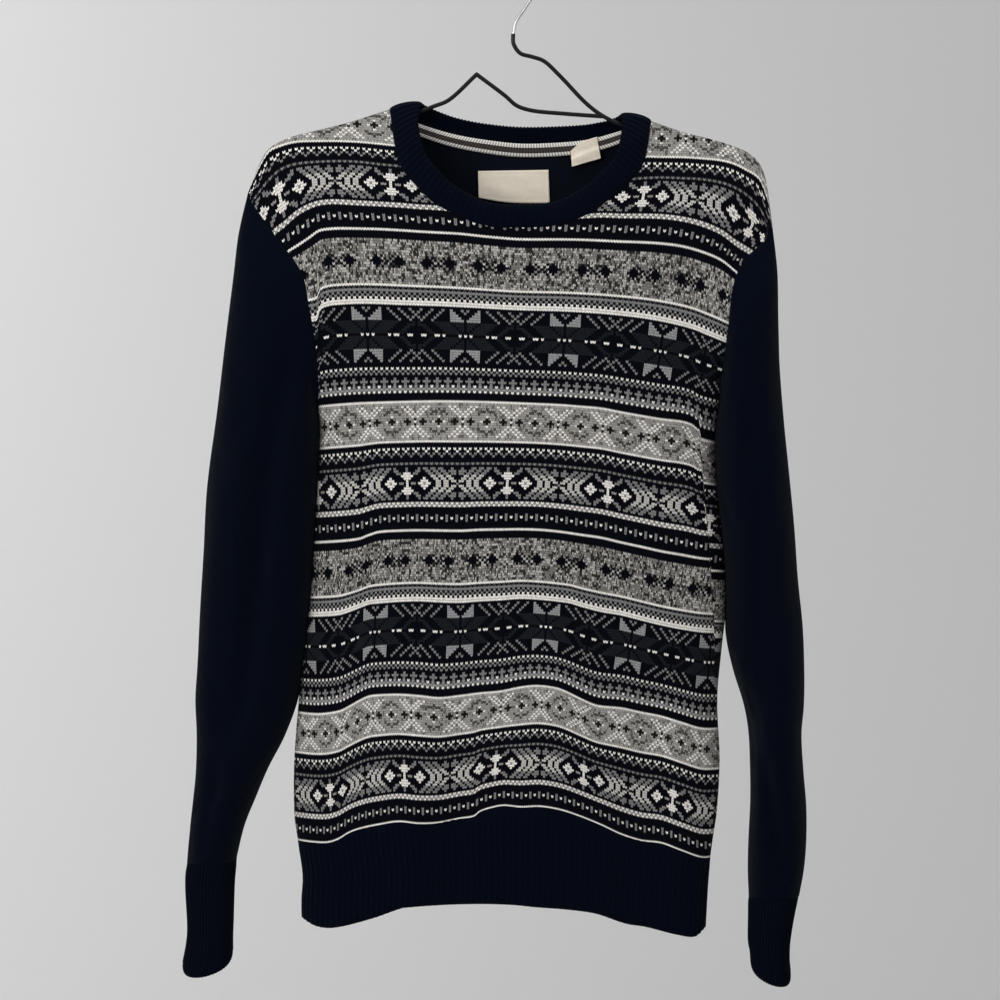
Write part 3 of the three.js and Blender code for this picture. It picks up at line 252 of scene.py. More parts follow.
def place_of_column(stitch, z):
    """Place across of a stitch column at a height, along a smooth line through its row."""
    k = np.clip(np.searchsorted(COLUMN_Z, z, side="right") - 1, 0, len(COLUMN_Z) - 2)
    f = np.clip((z - COLUMN_Z[k]) / (COLUMN_Z[k + 1] - COLUMN_Z[k]), -0.3, 1.3)
    row = COLUMN_X[k] * (1 - f)[..., None] + COLUMN_X[k + 1] * f[..., None]
    last = COLUMN_X.shape[1] - 1

    def take(column):
        return np.take_along_axis(row, np.clip(column, 0, last)[..., None], -1)[..., 0]

    at = stitch / COLUMN_STEP + last / 2
    inside = np.clip(at, 0, last)
    i = np.clip(inside.astype(int), 0, last - 1)
    p0, p1, p2, p3 = take(i - 1), take(i), take(i + 1), take(i + 2)
    m1 = np.where(i == 0, p2 - p1, (p2 - p0) / 2)
    m2 = np.where(i == last - 1, p2 - p1, (p3 - p1) / 2)
    return curve_between(p1, p2, m1, m2, inside - i) + (at - inside) * (p2 - p1)


def through(points, steps):
    """A smooth line through points, or a smooth sheet through lines, sampled finely."""
    p = np.asarray(points, float)
    ext = np.concatenate([2 * p[:1] - p[1:2], p, 2 * p[-1:] - p[-2:-1]])
    t = np.linspace(0, len(p) - 1, steps)
    i = np.minimum(t.astype(int), len(p) - 2)
    f = (t - i).reshape(-1, *[1] * (p.ndim - 1))
    a, b, c, d = ext[i], ext[i + 1], ext[i + 2], ext[i + 3]
    return 0.5 * (2 * b + (c - a) * f + (2 * a - 5 * b + 4 * c - d) * f ** 2
                  + (3 * b - a - 3 * c + d) * f ** 3)


def top_line(neck_seam):
    """The upper edge of a panel: shoulder, neck and shoulder."""
    return np.vstack([through(LEFT_SHOULDER, 200), through(neck_seam, 600)[1:],
                      through(RIGHT_SHOULDER, 200)[1:]])


def grid_mesh(name, grid, uv, colours=None, closed=False, keep=None):
    """A mesh of quads from a grid of points in millimetres, with a UV map in stitches."""
    rows, columns = grid.shape[:2]
    points = grid.reshape(-1, 3) / 1000
    spans = columns if closed else columns - 1
    i, j = np.meshgrid(np.arange(rows - 1), np.arange(spans), indexing="ij")
    i, j = i.ravel(), j.ravel()
    after = (j + 1) % columns
    faces = np.stack([i * columns + j, i * columns + after,
                      (i + 1) * columns + after, (i + 1) * columns + j], 1)
    corner_uv = np.stack([uv[i, j], uv[i, j + 1], uv[i + 1, j + 1], uv[i + 1, j]], 1)
    chosen = slice(None) if keep is None else keep.ravel()
    faces, corner_uv = faces[chosen], corner_uv[chosen]
    used = np.zeros(len(points), bool)
    used[faces.ravel()] = True
    points, faces = points[used], (np.cumsum(used) - 1)[faces]
    mesh = bpy.data.meshes.new(name)
    mesh.vertices.add(len(points))
    mesh.vertices.foreach_set("co", points.astype(np.float32).ravel())
    mesh.loops.add(faces.size)
    mesh.loops.foreach_set("vertex_index", faces.astype(np.int32).ravel())
    mesh.polygons.add(len(faces))
    mesh.polygons.foreach_set("loop_start", (np.arange(len(faces)) * 4).astype(np.int32))
    mesh.update(calc_edges=True)
    layer = mesh.uv_layers.new(name="Stitches")
    layer.data.foreach_set("uv", corner_uv.astype(np.float32).ravel())
    if colours is not None:
        tint = np.repeat(colours.reshape(-1, 4)[chosen][:, None], 4, 1)
        attribute = mesh.color_attributes.new("Yarn", "FLOAT_COLOR", "CORNER")
        attribute.data.foreach_set("color", tint.astype(np.float32).ravel())
    mesh.validate()
    mesh.polygons.foreach_set("use_smooth", np.ones(len(mesh.polygons), bool))
    made = bpy.data.objects.new(name, mesh)
    bpy.context.scene.collection.objects.link(made)
    return made


# One repeat of the pattern, from the lowest band up. Each band gives the width of its own
# repeat, the stitch that it is centred on, and its rows from the top down, from the centre
# stitch out to the middle between two centres.
# K black, W cream, w soft cream, S dim cream, L light grey, G grey, g dim grey, C charcoal,
# H heather, B pale marl, D dark mark, d soft mark.
PLAIN = (2, 0, ["KK"])
CREAM = (2, 0, ["WW"])
DIAMONDS = ["GKKKKGKGGKGGKGGKKKGKK", "GKKKGGKKGGKGGKGGKGGGK", "WWKGGKKKKGGKGGKGGKGGK",
            "WWWKKKKKKKwwKwwKwwKKK", "WWKKKKKWKKKwwKwwKwwKK", "WKKKKKWWWKKKwwKwwKwwK",
            "WKSSKWWSWWKKwwKwwKKKG"]
CROSSES = ["BBBBBBBBBB", "BBBWBWBBBB", "BBWBWBBBBd", "BWBWBBBddB", "WBWBBBdBBB",
           "BWBBBBBBBW", "DBBDBBBBBD", "WBDDDBBWDD"]
STARS = ["KGKKKLKKGKKKGKKKGKK", "GKKKLLKKKGKKKGKKKGK", "KKKLLLKKKKGKKKGKKKG",
         "KKLLLLKKKKKGKKKGKGK", "KLLLLLKKKKKKGKKKGKK", "KCCCCKCCCCCCKKKKKCK",
         "KCCCKCCCCCCKKKKCCCK", "KCCKCCCCCCKKKKCCKKK", "KCKCCCCCCKKKKCCKKKK",
         "KKCCCCCCKKKKCCKKKKK", "WKWKKKKKWKWWKKKWWKK"]
HEATHER = ["HHHHHHHHHH"] * 6 + ["HHKHKHHHHH", "HKHKKKHHHH", "KHKKKKKHHH"]


def mirrored(rows):
    """Rows down to the middle one, and the same again back up."""
    return rows + rows[-2::-1]


REPEAT = [
    CREAM, *[PLAIN] * 3, (4, 0, ["GKK", "GKW", "GKK"]), *[PLAIN] * 3, (2, 0, ["WS", "SW"]),
    PLAIN, (40, 0, mirrored(DIAMONDS)), PLAIN, (2, 0, ["Gg"]), *[PLAIN] * 2,
    (4, 0, ["KWK", "WKK", "KGK", "KKG"]), *[PLAIN] * 2, CREAM, (18, 0, mirrored(CROSSES)),
    CREAM, *[PLAIN] * 3, (4, 0, ["LgW", "GLG", "WgW"]), (4, 0, ["GKK", "GGK", "GKK"]), PLAIN,
    (4, 0, ["KWK", "GKG", "KGK"]), *[PLAIN] * 2, (36, 18, mirrored(STARS)), PLAIN,
    *[CREAM] * 2, (2, 0, ["GG", "GK", "KG", "WK"]), (2, 0, ["gK"]), CREAM,
    (18, 9, mirrored(HEATHER)), *[PLAIN] * 3]
YARNS = {
    "K": (0.0020, 0.0025, 0.0055), "W": (0.92, 0.88, 0.83), "w": (0.60, 0.58, 0.55),
    "S": (0.30, 0.29, 0.28), "L": (0.33, 0.33, 0.335), "G": (0.235, 0.232, 0.23),
    "g": (0.05, 0.05, 0.054), "C": (0.0125, 0.0140, 0.0175), "H": (0.22, 0.21, 0.195),
    "B": (0.36, 0.35, 0.33),
    "D": (0.010, 0.010, 0.010), "d": (0.07, 0.067, 0.062)}


def chart_codes(stitches, top_row):
    """The code of each stitch of each row, from the lowest row up."""
    rows = []
    for period, centre, texts in REPEAT:
        away = np.abs((stitches - centre + period // 2) % period - period // 2)
        for text in texts[::-1]:
            rows.append(np.array(list(text))[away])
    return np.array([rows[n % len(rows)] for n in range(top_row)])


def yarn_colours(codes):
    """A colour for each half stitch: the yarn's own, with the mottle of spun wool."""
    rows, columns = codes.shape
    codes = np.repeat(codes, 2, 1)
    tint = np.zeros((rows, columns * 2, 4))
    for code, value in YARNS.items():
        tint[codes == code, :3] = value
    tint[..., 3] = 1
    pick = rng.random(codes.shape)
    pick[:, 1::2] = np.where(rng.random(pick[:, 1::2].shape) < 0.35, pick[:, ::2], pick[:, 1::2])
    heather = codes == "H"
    tint[heather & (pick < 0.27), :3] = (0.03, 0.03, 0.03)
    tint[heather & (pick > 0.74), :3] = (0.52, 0.50, 0.47)
    marl = codes == "B"
    tint[marl & (pick < 0.16), :3] = (0.15, 0.145, 0.135)
    tint[marl & (pick > 0.86), :3] = (0.45, 0.43, 0.40)
    tint[..., :3] *= (1 + rng.normal(0, 0.07, codes.shape))[..., None]
    return np.clip(tint, 0.002, 1)


def stitch_panel(name, is_front, neck_seam, rows_table):
    """A panel of V-shaped stitches on the body's surface, cut to armholes and neck."""
    count = 2 * (2 * HALF_STITCHES + 1)
    stitch = -HALF_STITCHES - 0.5 + np.arange(count + 1) / 2
    courses = np.arange(TOP_ROW + 1.0)
    stitch, row = np.meshgrid(stitch, courses)
    row = row - (np.arange(count + 1) % 2)[None] * 0.5
    row[0] = 0
    z = height_of_row(rows_table, row, stitch * 2)
    for _ in range(ROUNDS_TO_SETTLE):
        x = place_of_column(stitch, z)
        z = height_of_row(rows_table, row, x)
    if is_front:
        past_seam = x > smooth(RIGHT_EDGE, z) - smooth(SIDE_STRIP, z)
        z = z - past_seam * smooth(SIDE_DROP, z)
    x = np.clip(x, smooth(LEFT_EDGE, z), smooth(RIGHT_EDGE, z))
    x = np.clip(x, LEFT_SHOULDER[0, 0], RIGHT_SHOULDER[-1, 0])
    top = top_line(neck_seam)
    z = np.minimum(z, np.interp(x, top[:, 0], top[:, 1]))
    off = stand_off(is_front, x, z)
    grid = np.stack([x, -off if is_front else off, z], -1)
    diagonals = np.cross(grid[1:, 1:] - grid[:-1, :-1], grid[1:, :-1] - grid[:-1, 1:])
    keep = np.linalg.norm(diagonals, axis=-1) / 2 > SMALLEST_STITCH
    uv = np.stack(np.meshgrid(np.arange(count + 1.0), courses), -1)
    codes = chart_codes(np.arange(-HALF_STITCHES, HALF_STITCHES + 1), TOP_ROW)
    if not is_front:
        grid, keep, codes = grid[:, ::-1], keep[:, ::-1], codes[:, ::-1]
    return grid_mesh(name, grid, uv, yarn_colours(codes), keep=keep), grid


def new_material(name, sockets):
    """A material, with values on its shader's own sockets."""
    material = bpy.data.materials.new(name)
    material.use_nodes = True
    bsdf = material.node_tree.nodes["Principled BSDF"]
    for socket, value in sockets.items():
        bsdf.inputs[socket].default_value = value
    return material


def add_node(material, kind, sockets, **settings):
    """A node with its settings, and its sockets either joined or given a value."""
    made = material.node_tree.nodes.new("ShaderNode" + kind)
    for setting, value in settings.items():
        setattr(made, setting, value)
    for socket, value in sockets.items():
        if isinstance(value, bpy.types.NodeSocket):
            material.node_tree.links.new(value, made.inputs[socket])
        else:
            made.inputs[socket].default_value = value
    return made


def maths(material, operation, first, second=0.5):
    """The outcome of one sum on sockets or numbers."""
    return add_node(material, "Math", {0: first, 1: second}, operation=operation).outputs[0]


def to_shader(material, colour, tone, height, strength, distance):
    """A colour darkened by a tone, and a height as a bump, joined to the shader. In the knits the
    tone is painted shade in the grooves between legs; in the woven trim it is mottle and knots.
    """
    grey = add_node(material, "CombineColor", {0: tone, 1: tone, 2: tone})
    shade = add_node(material, "Mix", {"Factor": 1.0, "A": colour, "B": grey.outputs[0]},
                     data_type="RGBA", blend_type="MULTIPLY")
    bump = add_node(material, "Bump", {
        "Strength": strength, "Distance": distance, "Height": height})
    bsdf = material.node_tree.nodes["Principled BSDF"]
    material.node_tree.links.new(shade.outputs["Result"], bsdf.inputs["Base Color"])
    material.node_tree.links.new(bump.outputs["Normal"], bsdf.inputs["Normal"])


def knit_material(name, yarn=None, attribute=None, slant=0.0, depth=0.35):
    """Wool in rows of leaf-shaped legs: UVs count legs across and rows up. Its colour is darkened
    towards the grooves between legs as painted shade.
    """
    material = new_material(name, {
        "Roughness": 0.92, "Specular IOR Level": 0.04, "Sheen Weight": 0.015,
        "Sheen Roughness": 0.5})
    place = add_node(material, "UVMap", {}, uv_map="Stitches")
    split = add_node(material, "SeparateXYZ", {0: place.outputs["UV"]})

    def from_middle(value):
        return maths(material, "ABSOLUTE", maths(
            material, "SUBTRACT", maths(material, "FRACT", value), 0.5))

    def rounded(value, power):
        return maths(material, "SUBTRACT", 1.0, maths(
            material, "POWER", maths(material, "MULTIPLY", value, 2.0), power))

    across = from_middle(split.outputs[0])
    pair = from_middle(maths(material, "MULTIPLY", split.outputs[0], 0.5))
    along = from_middle(maths(material, "ADD", split.outputs[1], maths(
        material, "MULTIPLY", pair, slant)))
    leg = maths(material, "MULTIPLY", rounded(across, 2.2), rounded(along, 4.0))
    coordinates = add_node(material, "TexCoord", {})
    fibre = add_node(material, "TexNoise", {
        "Scale": 900, "Detail": 2, "Vector": coordinates.outputs["Object"]})
    height = maths(material, "ADD", leg, maths(
        material, "MULTIPLY", fibre.outputs["Fac"], 0.35))
    if attribute:
        colour = add_node(material, "Attribute", {}, attribute_name=attribute).outputs["Color"]
    else:
        colour = (*yarn, 1)
    # Painted shade: the yarn's colour is darkened to 0.22 of itself in the grooves between legs.
    groove_shade = add_node(material, "MapRange", {"To Min": 0.22, "To Max": 1.1, "Value": leg})
    to_shader(material, colour, groove_shade.outputs["Result"], height, depth, 0.0007)
    return material


front, front_grid = stitch_panel("front_panel", True, NECK_SEAM_FRONT, FRONT_ROWS)
fair_isle_wool = knit_material("fair_isle_wool", attribute="Yarn")
front.data.materials.append(fair_isle_wool)
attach(front, "root")

# Inside of the front: the backs of the stitches, dark and plain, two millimetres in.
# It closes the panel at its edges, and shows only at the neck.
WALL = 2.0
COARSE = 6
SMALLEST_FACE = 0.3


def every_few(count):
    """Every few places out of a count, and the last one."""
    return np.unique(np.append(np.arange(0, count, COARSE), count - 1))


def inside_of(name, grid):
    """A coarser copy of a panel's surface, set in from it and facing inwards."""
    rows, columns = every_few(grid.shape[0]), every_few(grid.shape[1])
    inner = grid[np.ix_(rows, columns)].copy()
    depth = np.full(inner.shape[:2], WALL)
    depth[0] = depth[-1] = depth[:, 0] = depth[:, -1] = 0
    side = np.sign(inner[..., 1])
    inner[..., 1] = side * np.maximum(np.abs(inner[..., 1]) - depth, 0.05)
    uv = np.stack(np.meshgrid(columns * 1.0, rows * 1.0), -1)
    step = np.cross(inner[1:, 1:] - inner[:-1, :-1], inner[1:, :-1] - inner[:-1, 1:])
    keep = np.linalg.norm(step, axis=-1) / 2 > SMALLEST_FACE
    return grid_mesh(name, inner[:, ::-1], uv[:, ::-1], keep=keep[:, ::-1])


front_inside = inside_of("front_inside", front_grid)
inside_wool = knit_material("inside_wool", slant=1.2, yarn=(0.0055, 0.0080, 0.0150))
front_inside.data.materials.append(inside_wool)
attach(front_inside, "root")

# Back: a second panel of the same knit, cut in a shallow curve under the neck.
# It is sewn to the front at the shoulders and down both sides.
# Height of some rows of stitches, as for the front.
BACK_LINES = {
    0: [(-188, -760), (-95, -745), (0, -738), (90, -752), (166, -775), (184, -776)],
    118: [(-180, -508), (-95, -500), (0, -497), (90, -508), (172, -523), (190, -524)],
    208.5: [(-178, -322), (-95, -306), (0, -309), (90, -316), (178, -339)],
    236: [(-210, -272), (-169, -246), (-85, -243), (0, -245), (86, -251), (154, -262),
          (210, -300)],
    263: [(-232, -226), (-203, -192.5), (-152, -184), (-50, -178), (40, -181), (120, -194),
          (171, -203), (204, -224), (220, -255)],
    272: [(-236, -222), (-203, -171.5), (-152, -165), (-50, -159), (40, -162), (120, -176),
          (171, -184), (204, -199), (216, -232)]}
BACK_ROWS = row_heights(BACK_LINES)
back, back_grid = stitch_panel("back_panel", False, NECK_SEAM_BACK, BACK_ROWS)
back.data.materials.append(fair_isle_wool)
back_inside = inside_of("back_inside", back_grid[:, ::-1])
back_inside.data.materials.append(inside_wool)
for piece in (back, back_inside):
    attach(piece, "root")
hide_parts("front")
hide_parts("back")

# Hem: a band of ribs in plain navy wool, knitted on to the bottom of both panels.
# It draws in a little, and its edge runs in a shallow wave.
HEM_RIBS = 150
HEM_ROWS = 14
HEM_COURSES = 34
HEM_TOP_Z = -790
HEM_TUCK = 1.2
HEM_MIDDLE_X = -11.5
HEM_HALF_WIDTH = 174
HEM_OVERLAP = 1.5
LEGS_PER_RIB = 4
RIB_HEIGHT = 1.0
RIB_WALL = 1.6
NAVY = (0.0011, 0.0030, 0.0098)
HEM_END_FRONT = np.array([
    (-1, -826), (-0.93, -832), (-0.84, -833), (-0.66, -825), (-0.46, -813), (-0.36, -813),
    (-0.18, -811.5), (0.03, -812), (0.16, -814), (0.3, -816), (0.45, -820), (0.6, -829),
    (0.7, -832), (0.86, -839), (0.95, -841), (1, -834)])
HEM_END_BACK = np.array([
    (-1, -826), (-0.9, -830), (-0.5, -822), (0, -819), (0.5, -827), (0.9, -838), (1, -834)])


def on_body(is_front, across, z):
    """Points of the body's surface, from places across it between -1 and 1."""
    left, right = smooth(LEFT_EDGE, z), smooth(RIGHT_EDGE, z)
    x = (left + right) / 2 + (right - left) / 2 * across
    off = stand_off(is_front, x, z)
    return np.stack([x, -off if is_front else off, z], -1)


def evenly(points, count):
    """Points evenly along a line."""
    run = np.concatenate([[0], np.cumsum(np.linalg.norm(np.diff(points, axis=0), axis=1))])
    want = np.linspace(0, run[-1], count + 1)
    return np.stack([np.interp(want, run, points[:, k]) for k in range(3)], 1)


def across_evenly(is_front, z, count):
    """Places across the body, between -1 and 1, that are evenly spaced on its surface."""
    fine = -np.cos(np.linspace(0, np.pi, 801))
    line = on_body(is_front, fine, np.full(len(fine), float(z)))
    left, right = smooth(LEFT_EDGE, float(z)), smooth(RIGHT_EDGE, float(z))
    return np.clip((evenly(line, count)[:, 0] * 2 - left - right) / (right - left), -1, 1)


def normals_of(grid, centres):
    """Directions out of a tube of points, away from the given centres."""
    across = np.roll(grid, -1, 1) - np.roll(grid, 1, 1)
    normal = np.cross(across, np.gradient(grid, axis=0))
    normal /= np.maximum(np.linalg.norm(normal, axis=-1, keepdims=True), 1e-9)
    return normal if (normal * (grid - centres)).sum() > 0 else -normal


def with_wall(piece, thickness):
    """Cloth of one layer given its thickness, towards the inside."""
    bpy.ops.object.select_all(action="DESELECT")
    bpy.context.view_layer.objects.active = piece
    piece.select_set(True)
    bpy.ops.object.mode_set(mode="EDIT")
    bpy.ops.mesh.select_all(action="SELECT")
    bpy.ops.mesh.normals_make_consistent(inside=False)
    bpy.ops.object.mode_set(mode="OBJECT")
    solid = piece.modifiers.new("wall", "SOLIDIFY")
    solid.thickness = thickness / 1000
    solid.offset = -1
    bpy.ops.object.modifier_apply(modifier="wall")
    piece.data.polygons.foreach_set("use_smooth", np.ones(len(piece.data.polygons), bool))


def ribbed(grid, ribs, centres, height):
    """A tube of points raised and sunk into ribs that run along it."""
    swing = np.cos(np.arange(grid.shape[1]) / grid.shape[1] * ribs * 2 * np.pi)
    profile = np.sign(swing) * np.abs(swing) ** 0.7 * 0.5
    return grid + normals_of(grid, centres) * (profile[None] * height)[..., None]


def leg_uv(grid, legs, courses):
    """UVs for a tube: legs of stitches round it, and courses along it."""
    rows, columns = grid.shape[:2]
    return np.stack(np.meshgrid(
        np.linspace(0, legs, columns + 1), np.linspace(0, courses, rows)), -1)


columns_each = HEM_RIBS * 3
levels = np.linspace(0, 1, HEM_ROWS)[:, None]
halves = []
for is_front, rows_table, ends in (
        (True, FRONT_ROWS, HEM_END_FRONT), (False, BACK_ROWS, HEM_END_BACK)):
    across = across_evenly(is_front, HEM_TOP_Z, columns_each)
    x = HEM_MIDDLE_X + HEM_HALF_WIDTH * across
    high = height_of_row(rows_table, np.zeros_like(x), x) + HEM_OVERLAP
    low = smooth(ends, across)
    z = high + (low - high) * levels
    halves.append(on_body(is_front, across[None].repeat(HEM_ROWS, 0), z))
hem_grid = np.concatenate([halves[0], halves[1][:, ::-1][:, 1:-1]], 1)
hem_grid[:, 0, 1] = hem_grid[:, columns_each, 1] = 0
hem_middle = hem_grid.mean(1, keepdims=True)
hem_grid[0, :, 1] *= 1 - HEM_TUCK / np.maximum(np.abs(hem_grid[0, :, 1]), 2 * HEM_TUCK)
hem_grid = ribbed(hem_grid, HEM_RIBS, hem_middle, RIB_HEIGHT * np.minimum(levels * 6, 1))
hem = grid_mesh("hem_rib", hem_grid, leg_uv(hem_grid, HEM_RIBS * LEGS_PER_RIB, HEM_COURSES),
                closed=True)
navy_rib = knit_material("navy_rib", yarn=NAVY, slant=1.4, depth=0.45)
hem.data.materials.append(navy_rib)
with_wall(hem, RIB_WALL)
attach(hem, "root")
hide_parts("hem")

# Sleeves: plain navy wool, knitted to shape and set in at the armholes.
# They hang half flat, with one long trough each and small wrinkles.
# A ring for each row: outer x and z, inner x and z, half depth, bow towards the body.
SLEEVES = {
    "left": np.array([
        (-238, -244, -169.5, -398, 35, 17), (-243, -284, -168.6, -411, 39, 11),
        (-250, -340, -168.8, -428, 43, 6), (-257, -400, -170.4, -450, 45, 3),
        (-265, -460, -172, -480, 45, 0), (-268, -515, -174.6, -520, 44, 0),
        (-271, -565, -178, -566, 42, 0), (-273, -608, -182.7, -608, 40, 0),
        (-275, -641, -187.5, -640, 39, 0), (-274, -672, -199, -672, 37, 0),
        (-274.5, -700, -213, -699, 35, 0), (-277, -727, -224, -725, 32, 0),
        (-279.5, -750, -233.5, -749, 30, 0), (-282, -780, -240.5, -778, 27.5, 0)]),
    "right": np.array([
        (219.5, -277, 168, -398, 37, 11), (220.5, -325, 166.2, -416, 43, 7),
        (221.5, -360, 165.8, -434, 47, 4), (225, -405, 166.8, -456, 50, 2),
        (229.5, -450, 170.2, -484, 51, 0), (234, -497, 173.4, -515, 51, 0),
        (237, -540, 175.4, -550, 50, 0), (241, -578, 175.6, -584, 48, 0),
        (242.5, -616, 181.5, -614, 46, 0), (242, -646, 191, -645, 44, 0),
        (240, -671, 195.5, -671, 43, 0), (241.5, -700, 196.5, -699, 41, 0),
        (244, -731, 196.5, -730, 38, 0), (244, -762, 195, -761, 35, 0),
        (242, -786, 194.5, -786, 31, 0), (238, -808, 195.3, -809, 27, 0)])}
# Folds: share down the sleeve from and to, place across from the inner end, width, height.
SLEEVE_FOLDS = {
    ("left", True): [(0.03, 0.72, 0.42, 0.55, 0.13, -13), (0.35, 1, 0.8, 0.66, 0.14, -5)],
    ("left", False): [(0.05, 0.6, 0.5, 0.6, 0.16, -8)],
    ("right", True): [(0.05, 0.55, 0.6, 0.4, 0.15, -7), (0.66, 1, 0.05, 0.72, 0.17, -9)],
    ("right", False): [(0.1, 0.7, 0.45, 0.55, 0.16, -8)]}
CUFFS = {
    "left": np.array([
        (-283.2, -797, -241.8, -793, 26, 0), (-281.5, -832, -243, -828, 26, 0),
        (-282.5, -848, -243.5, -842, 27, 0), (-285.5, -864, -243.5, -854, 28, 0)]),
    "right": np.array([
        (235, -818, 195.2, -820, 25, 0), (230.5, -843, 195, -845, 25.5, 0),
        (229.5, -858, 196.5, -854, 26, 0), (230.5, -872, 197, -861, 27, 0)])}
CUFF_DIP = 15
CUFF_RIBS = 52
CUFF_COURSES = 38
HALF_RING = 72
HALF_CUFF_RING = 156
SLEEVE_LEGS = 300
SLEEVE_COURSES = 225
SLEEVE_WALL = 1.8
SLEEVE_RINGS = 9
CUFF_RINGS = 5
WRINKLES = 60
WRINKLE_HEIGHT = 2.2
CUFF_DRAW_IN = 0.9
CUFF_RIB_HEIGHT = 1.1


def closed_ring(front_half, back_half):
    """One ring from two lines that share both ends."""
    return np.concatenate([front_half, back_half[::-1][1:-1]])


def ring(row, side, folds, share, half=HALF_RING):
    """A ring round the sleeve: a flattened oval with its folds, bowed towards the body."""
    outer, inner = np.array([row[0], 0, row[1]]), np.array([row[2], 0, row[3]])
    chord = outer - inner
    to_body = np.array([-chord[2], 0, chord[0]]) / np.linalg.norm(chord)
    if to_body[0] * outer[0] > 0:
        to_body = -to_body
    angle = np.linspace(0, np.pi, 161)
    across = (1 - np.cos(angle)) / 2
    sides = []
    for is_front in (True, False):
        depth = row[4] * np.sin(angle) ** 0.9
        for start, stop, at_start, at_stop, width, height in folds.get((side, is_front), []):
            along = (share - start) / (stop - start)
            if 0 < along < 1:
                off = (across - at_start - (at_stop - at_start) * along) / width
                fade = np.sin(np.pi * along) ** 0.6
                depth = depth + height * np.exp(-off * off) * fade * np.sin(angle)
        line = inner + chord * across[:, None]
        line = line + to_body * (row[5] * np.sin(np.pi * across) ** 1.6)[:, None]
        line[:, 1] = -depth if is_front else depth
        sides.append(evenly(line, half))
    return closed_ring(*sides)


def armhole(side, top_z):
    """The ring where a sleeve is sewn to the body."""
    z = np.linspace(UNDERARM_Z, top_z, 121)
    edge = smooth(LEFT_EDGE if side == "left" else RIGHT_EDGE, z)
    halves = []
    for is_front in (True, False):
        off = stand_off(is_front, edge, z)
        off[0] = off[-1] = 0
        halves.append(evenly(np.stack([edge, -off if is_front else off, z], 1), HALF_RING))
    return closed_ring(*halves)


def between_rings(rings, steps):
    """Rings filled in smoothly between key rings."""
    return through(rings, (len(rings) - 1) * steps + 1)


def small_wrinkles(rows, columns, count, height):
    """Soft slanting creases, uneven in place, length and depth."""
    down, turned = np.meshgrid(
        np.linspace(0, 1, rows), np.arange(columns) / columns, indexing="ij")
    total = np.zeros((rows, columns))
    for _ in range(count):
        at_down, at_round = rng.uniform(0.08, 0.95), rng.uniform(0, 1)
        lean, length = rng.uniform(-0.9, 0.9), rng.uniform(0.05, 0.16)
        width = rng.uniform(0.012, 0.03)
        around = (turned - at_round + 0.5) % 1 - 0.5
        u = (down - at_down) * np.cos(lean) + around * 0.6 * np.sin(lean)
        v = -(down - at_down) * np.sin(lean) + around * 0.6 * np.cos(lean)
        total += rng.uniform(-1, 0.7) * height * np.exp(-(u / length) ** 2 - (v / width) ** 2)
    return total


navy_wool = knit_material("navy_wool", yarn=NAVY, slant=1.4, depth=0.45)
for side, top_z in (("left", -211), ("right", -239.5)):
    table = SLEEVES[side]
    rings = [armhole(side, top_z)]
    for i, row in enumerate(table):
        rings.append(ring(row, side, SLEEVE_FOLDS, i / (len(table) - 1)))
    grid = between_rings(rings, SLEEVE_RINGS)
    turn = 2 * np.pi * np.arange(grid.shape[1]) / grid.shape[1]
    fade = np.minimum(np.linspace(0, 1, len(grid)) * 14, 1)[:, None] * np.abs(np.sin(turn))
    bumps = small_wrinkles(*grid.shape[:2], WRINKLES, WRINKLE_HEIGHT) * fade
    grid = grid + normals_of(grid, grid.mean(1, keepdims=True)) * bumps[..., None]
    sleeve = grid_mesh(f"sleeve_{side}_knit", grid, leg_uv(grid, SLEEVE_LEGS, SLEEVE_COURSES),
                       closed=True)
    sleeve.data.materials.append(navy_wool)
    with_wall(sleeve, SLEEVE_WALL)
    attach(sleeve, "root")
    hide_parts(f"sleeve_{side}")
    # Cuff: a ribbed tube knitted on to the sleeve's end, hanging lowest at the front.
    above, end = (ring(row, side, SLEEVE_FOLDS, 1, HALF_CUFF_RING) for row in table[-2:])
    cuff_rings = [above * 0.25 + end * 0.75]
    cuff_rings += [ring(row, side, {}, 0, HALF_CUFF_RING) for row in CUFFS[side]]
    grid = between_rings(cuff_rings, CUFF_RINGS)
    down = np.linspace(0, 1, len(grid))[:, None]
    turn = 2 * np.pi * np.arange(grid.shape[1]) / grid.shape[1]
    grid[..., 2] -= CUFF_DIP * np.clip(np.sin(turn), 0, 1) ** 0.7 * down ** 3
    middles = grid.mean(1, keepdims=True)
    grown = np.minimum(down * 6, 1)
    grid = grid + normals_of(grid, middles) * (grown[..., None] - 1) * CUFF_DRAW_IN
    grid = ribbed(grid, CUFF_RIBS, middles, CUFF_RIB_HEIGHT * grown)
    cuff = grid_mesh(f"cuff_{side}_rib", grid,
                     leg_uv(grid, CUFF_RIBS * LEGS_PER_RIB, CUFF_COURSES), closed=True)
    cuff.data.materials.append(navy_rib)
    with_wall(cuff, RIB_WALL)
    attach(cuff, "root")
    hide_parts(f"cuff_{side}")

# Neckband: a folded ribbed strip that stands up and in from the neck seam.
# It bows out between seam and fold, and its front half stands well forward of the back.
NECK_EDGE_FRONT = np.array([
    (-83, -134.5), (-85, -154), (-79.5, -177), (-71, -190), (-54.5, -206), (-27, -220.5),
    (0, -222.5), (29, -220.5), (51, -210), (66, -198), (80, -182), (86, -163), (87, -144)])
NECK_EDGE_BACK = np.array([
    (-83, -134.5), (-74, -138.5), (-53, -146), (-27, -151), (5, -153.7), (48, -152.3),
    (68, -149.8), (80, -147), (87, -144)])
NECK_COUNT = 360
NECK_RIBS = 124
NECK_ROWS = 12
NECK_COURSES = 11
NECK_WALL = 2.4
NECK_POINTS = 900
NECK_MIDDLE = np.array([0, -10, -190.0])


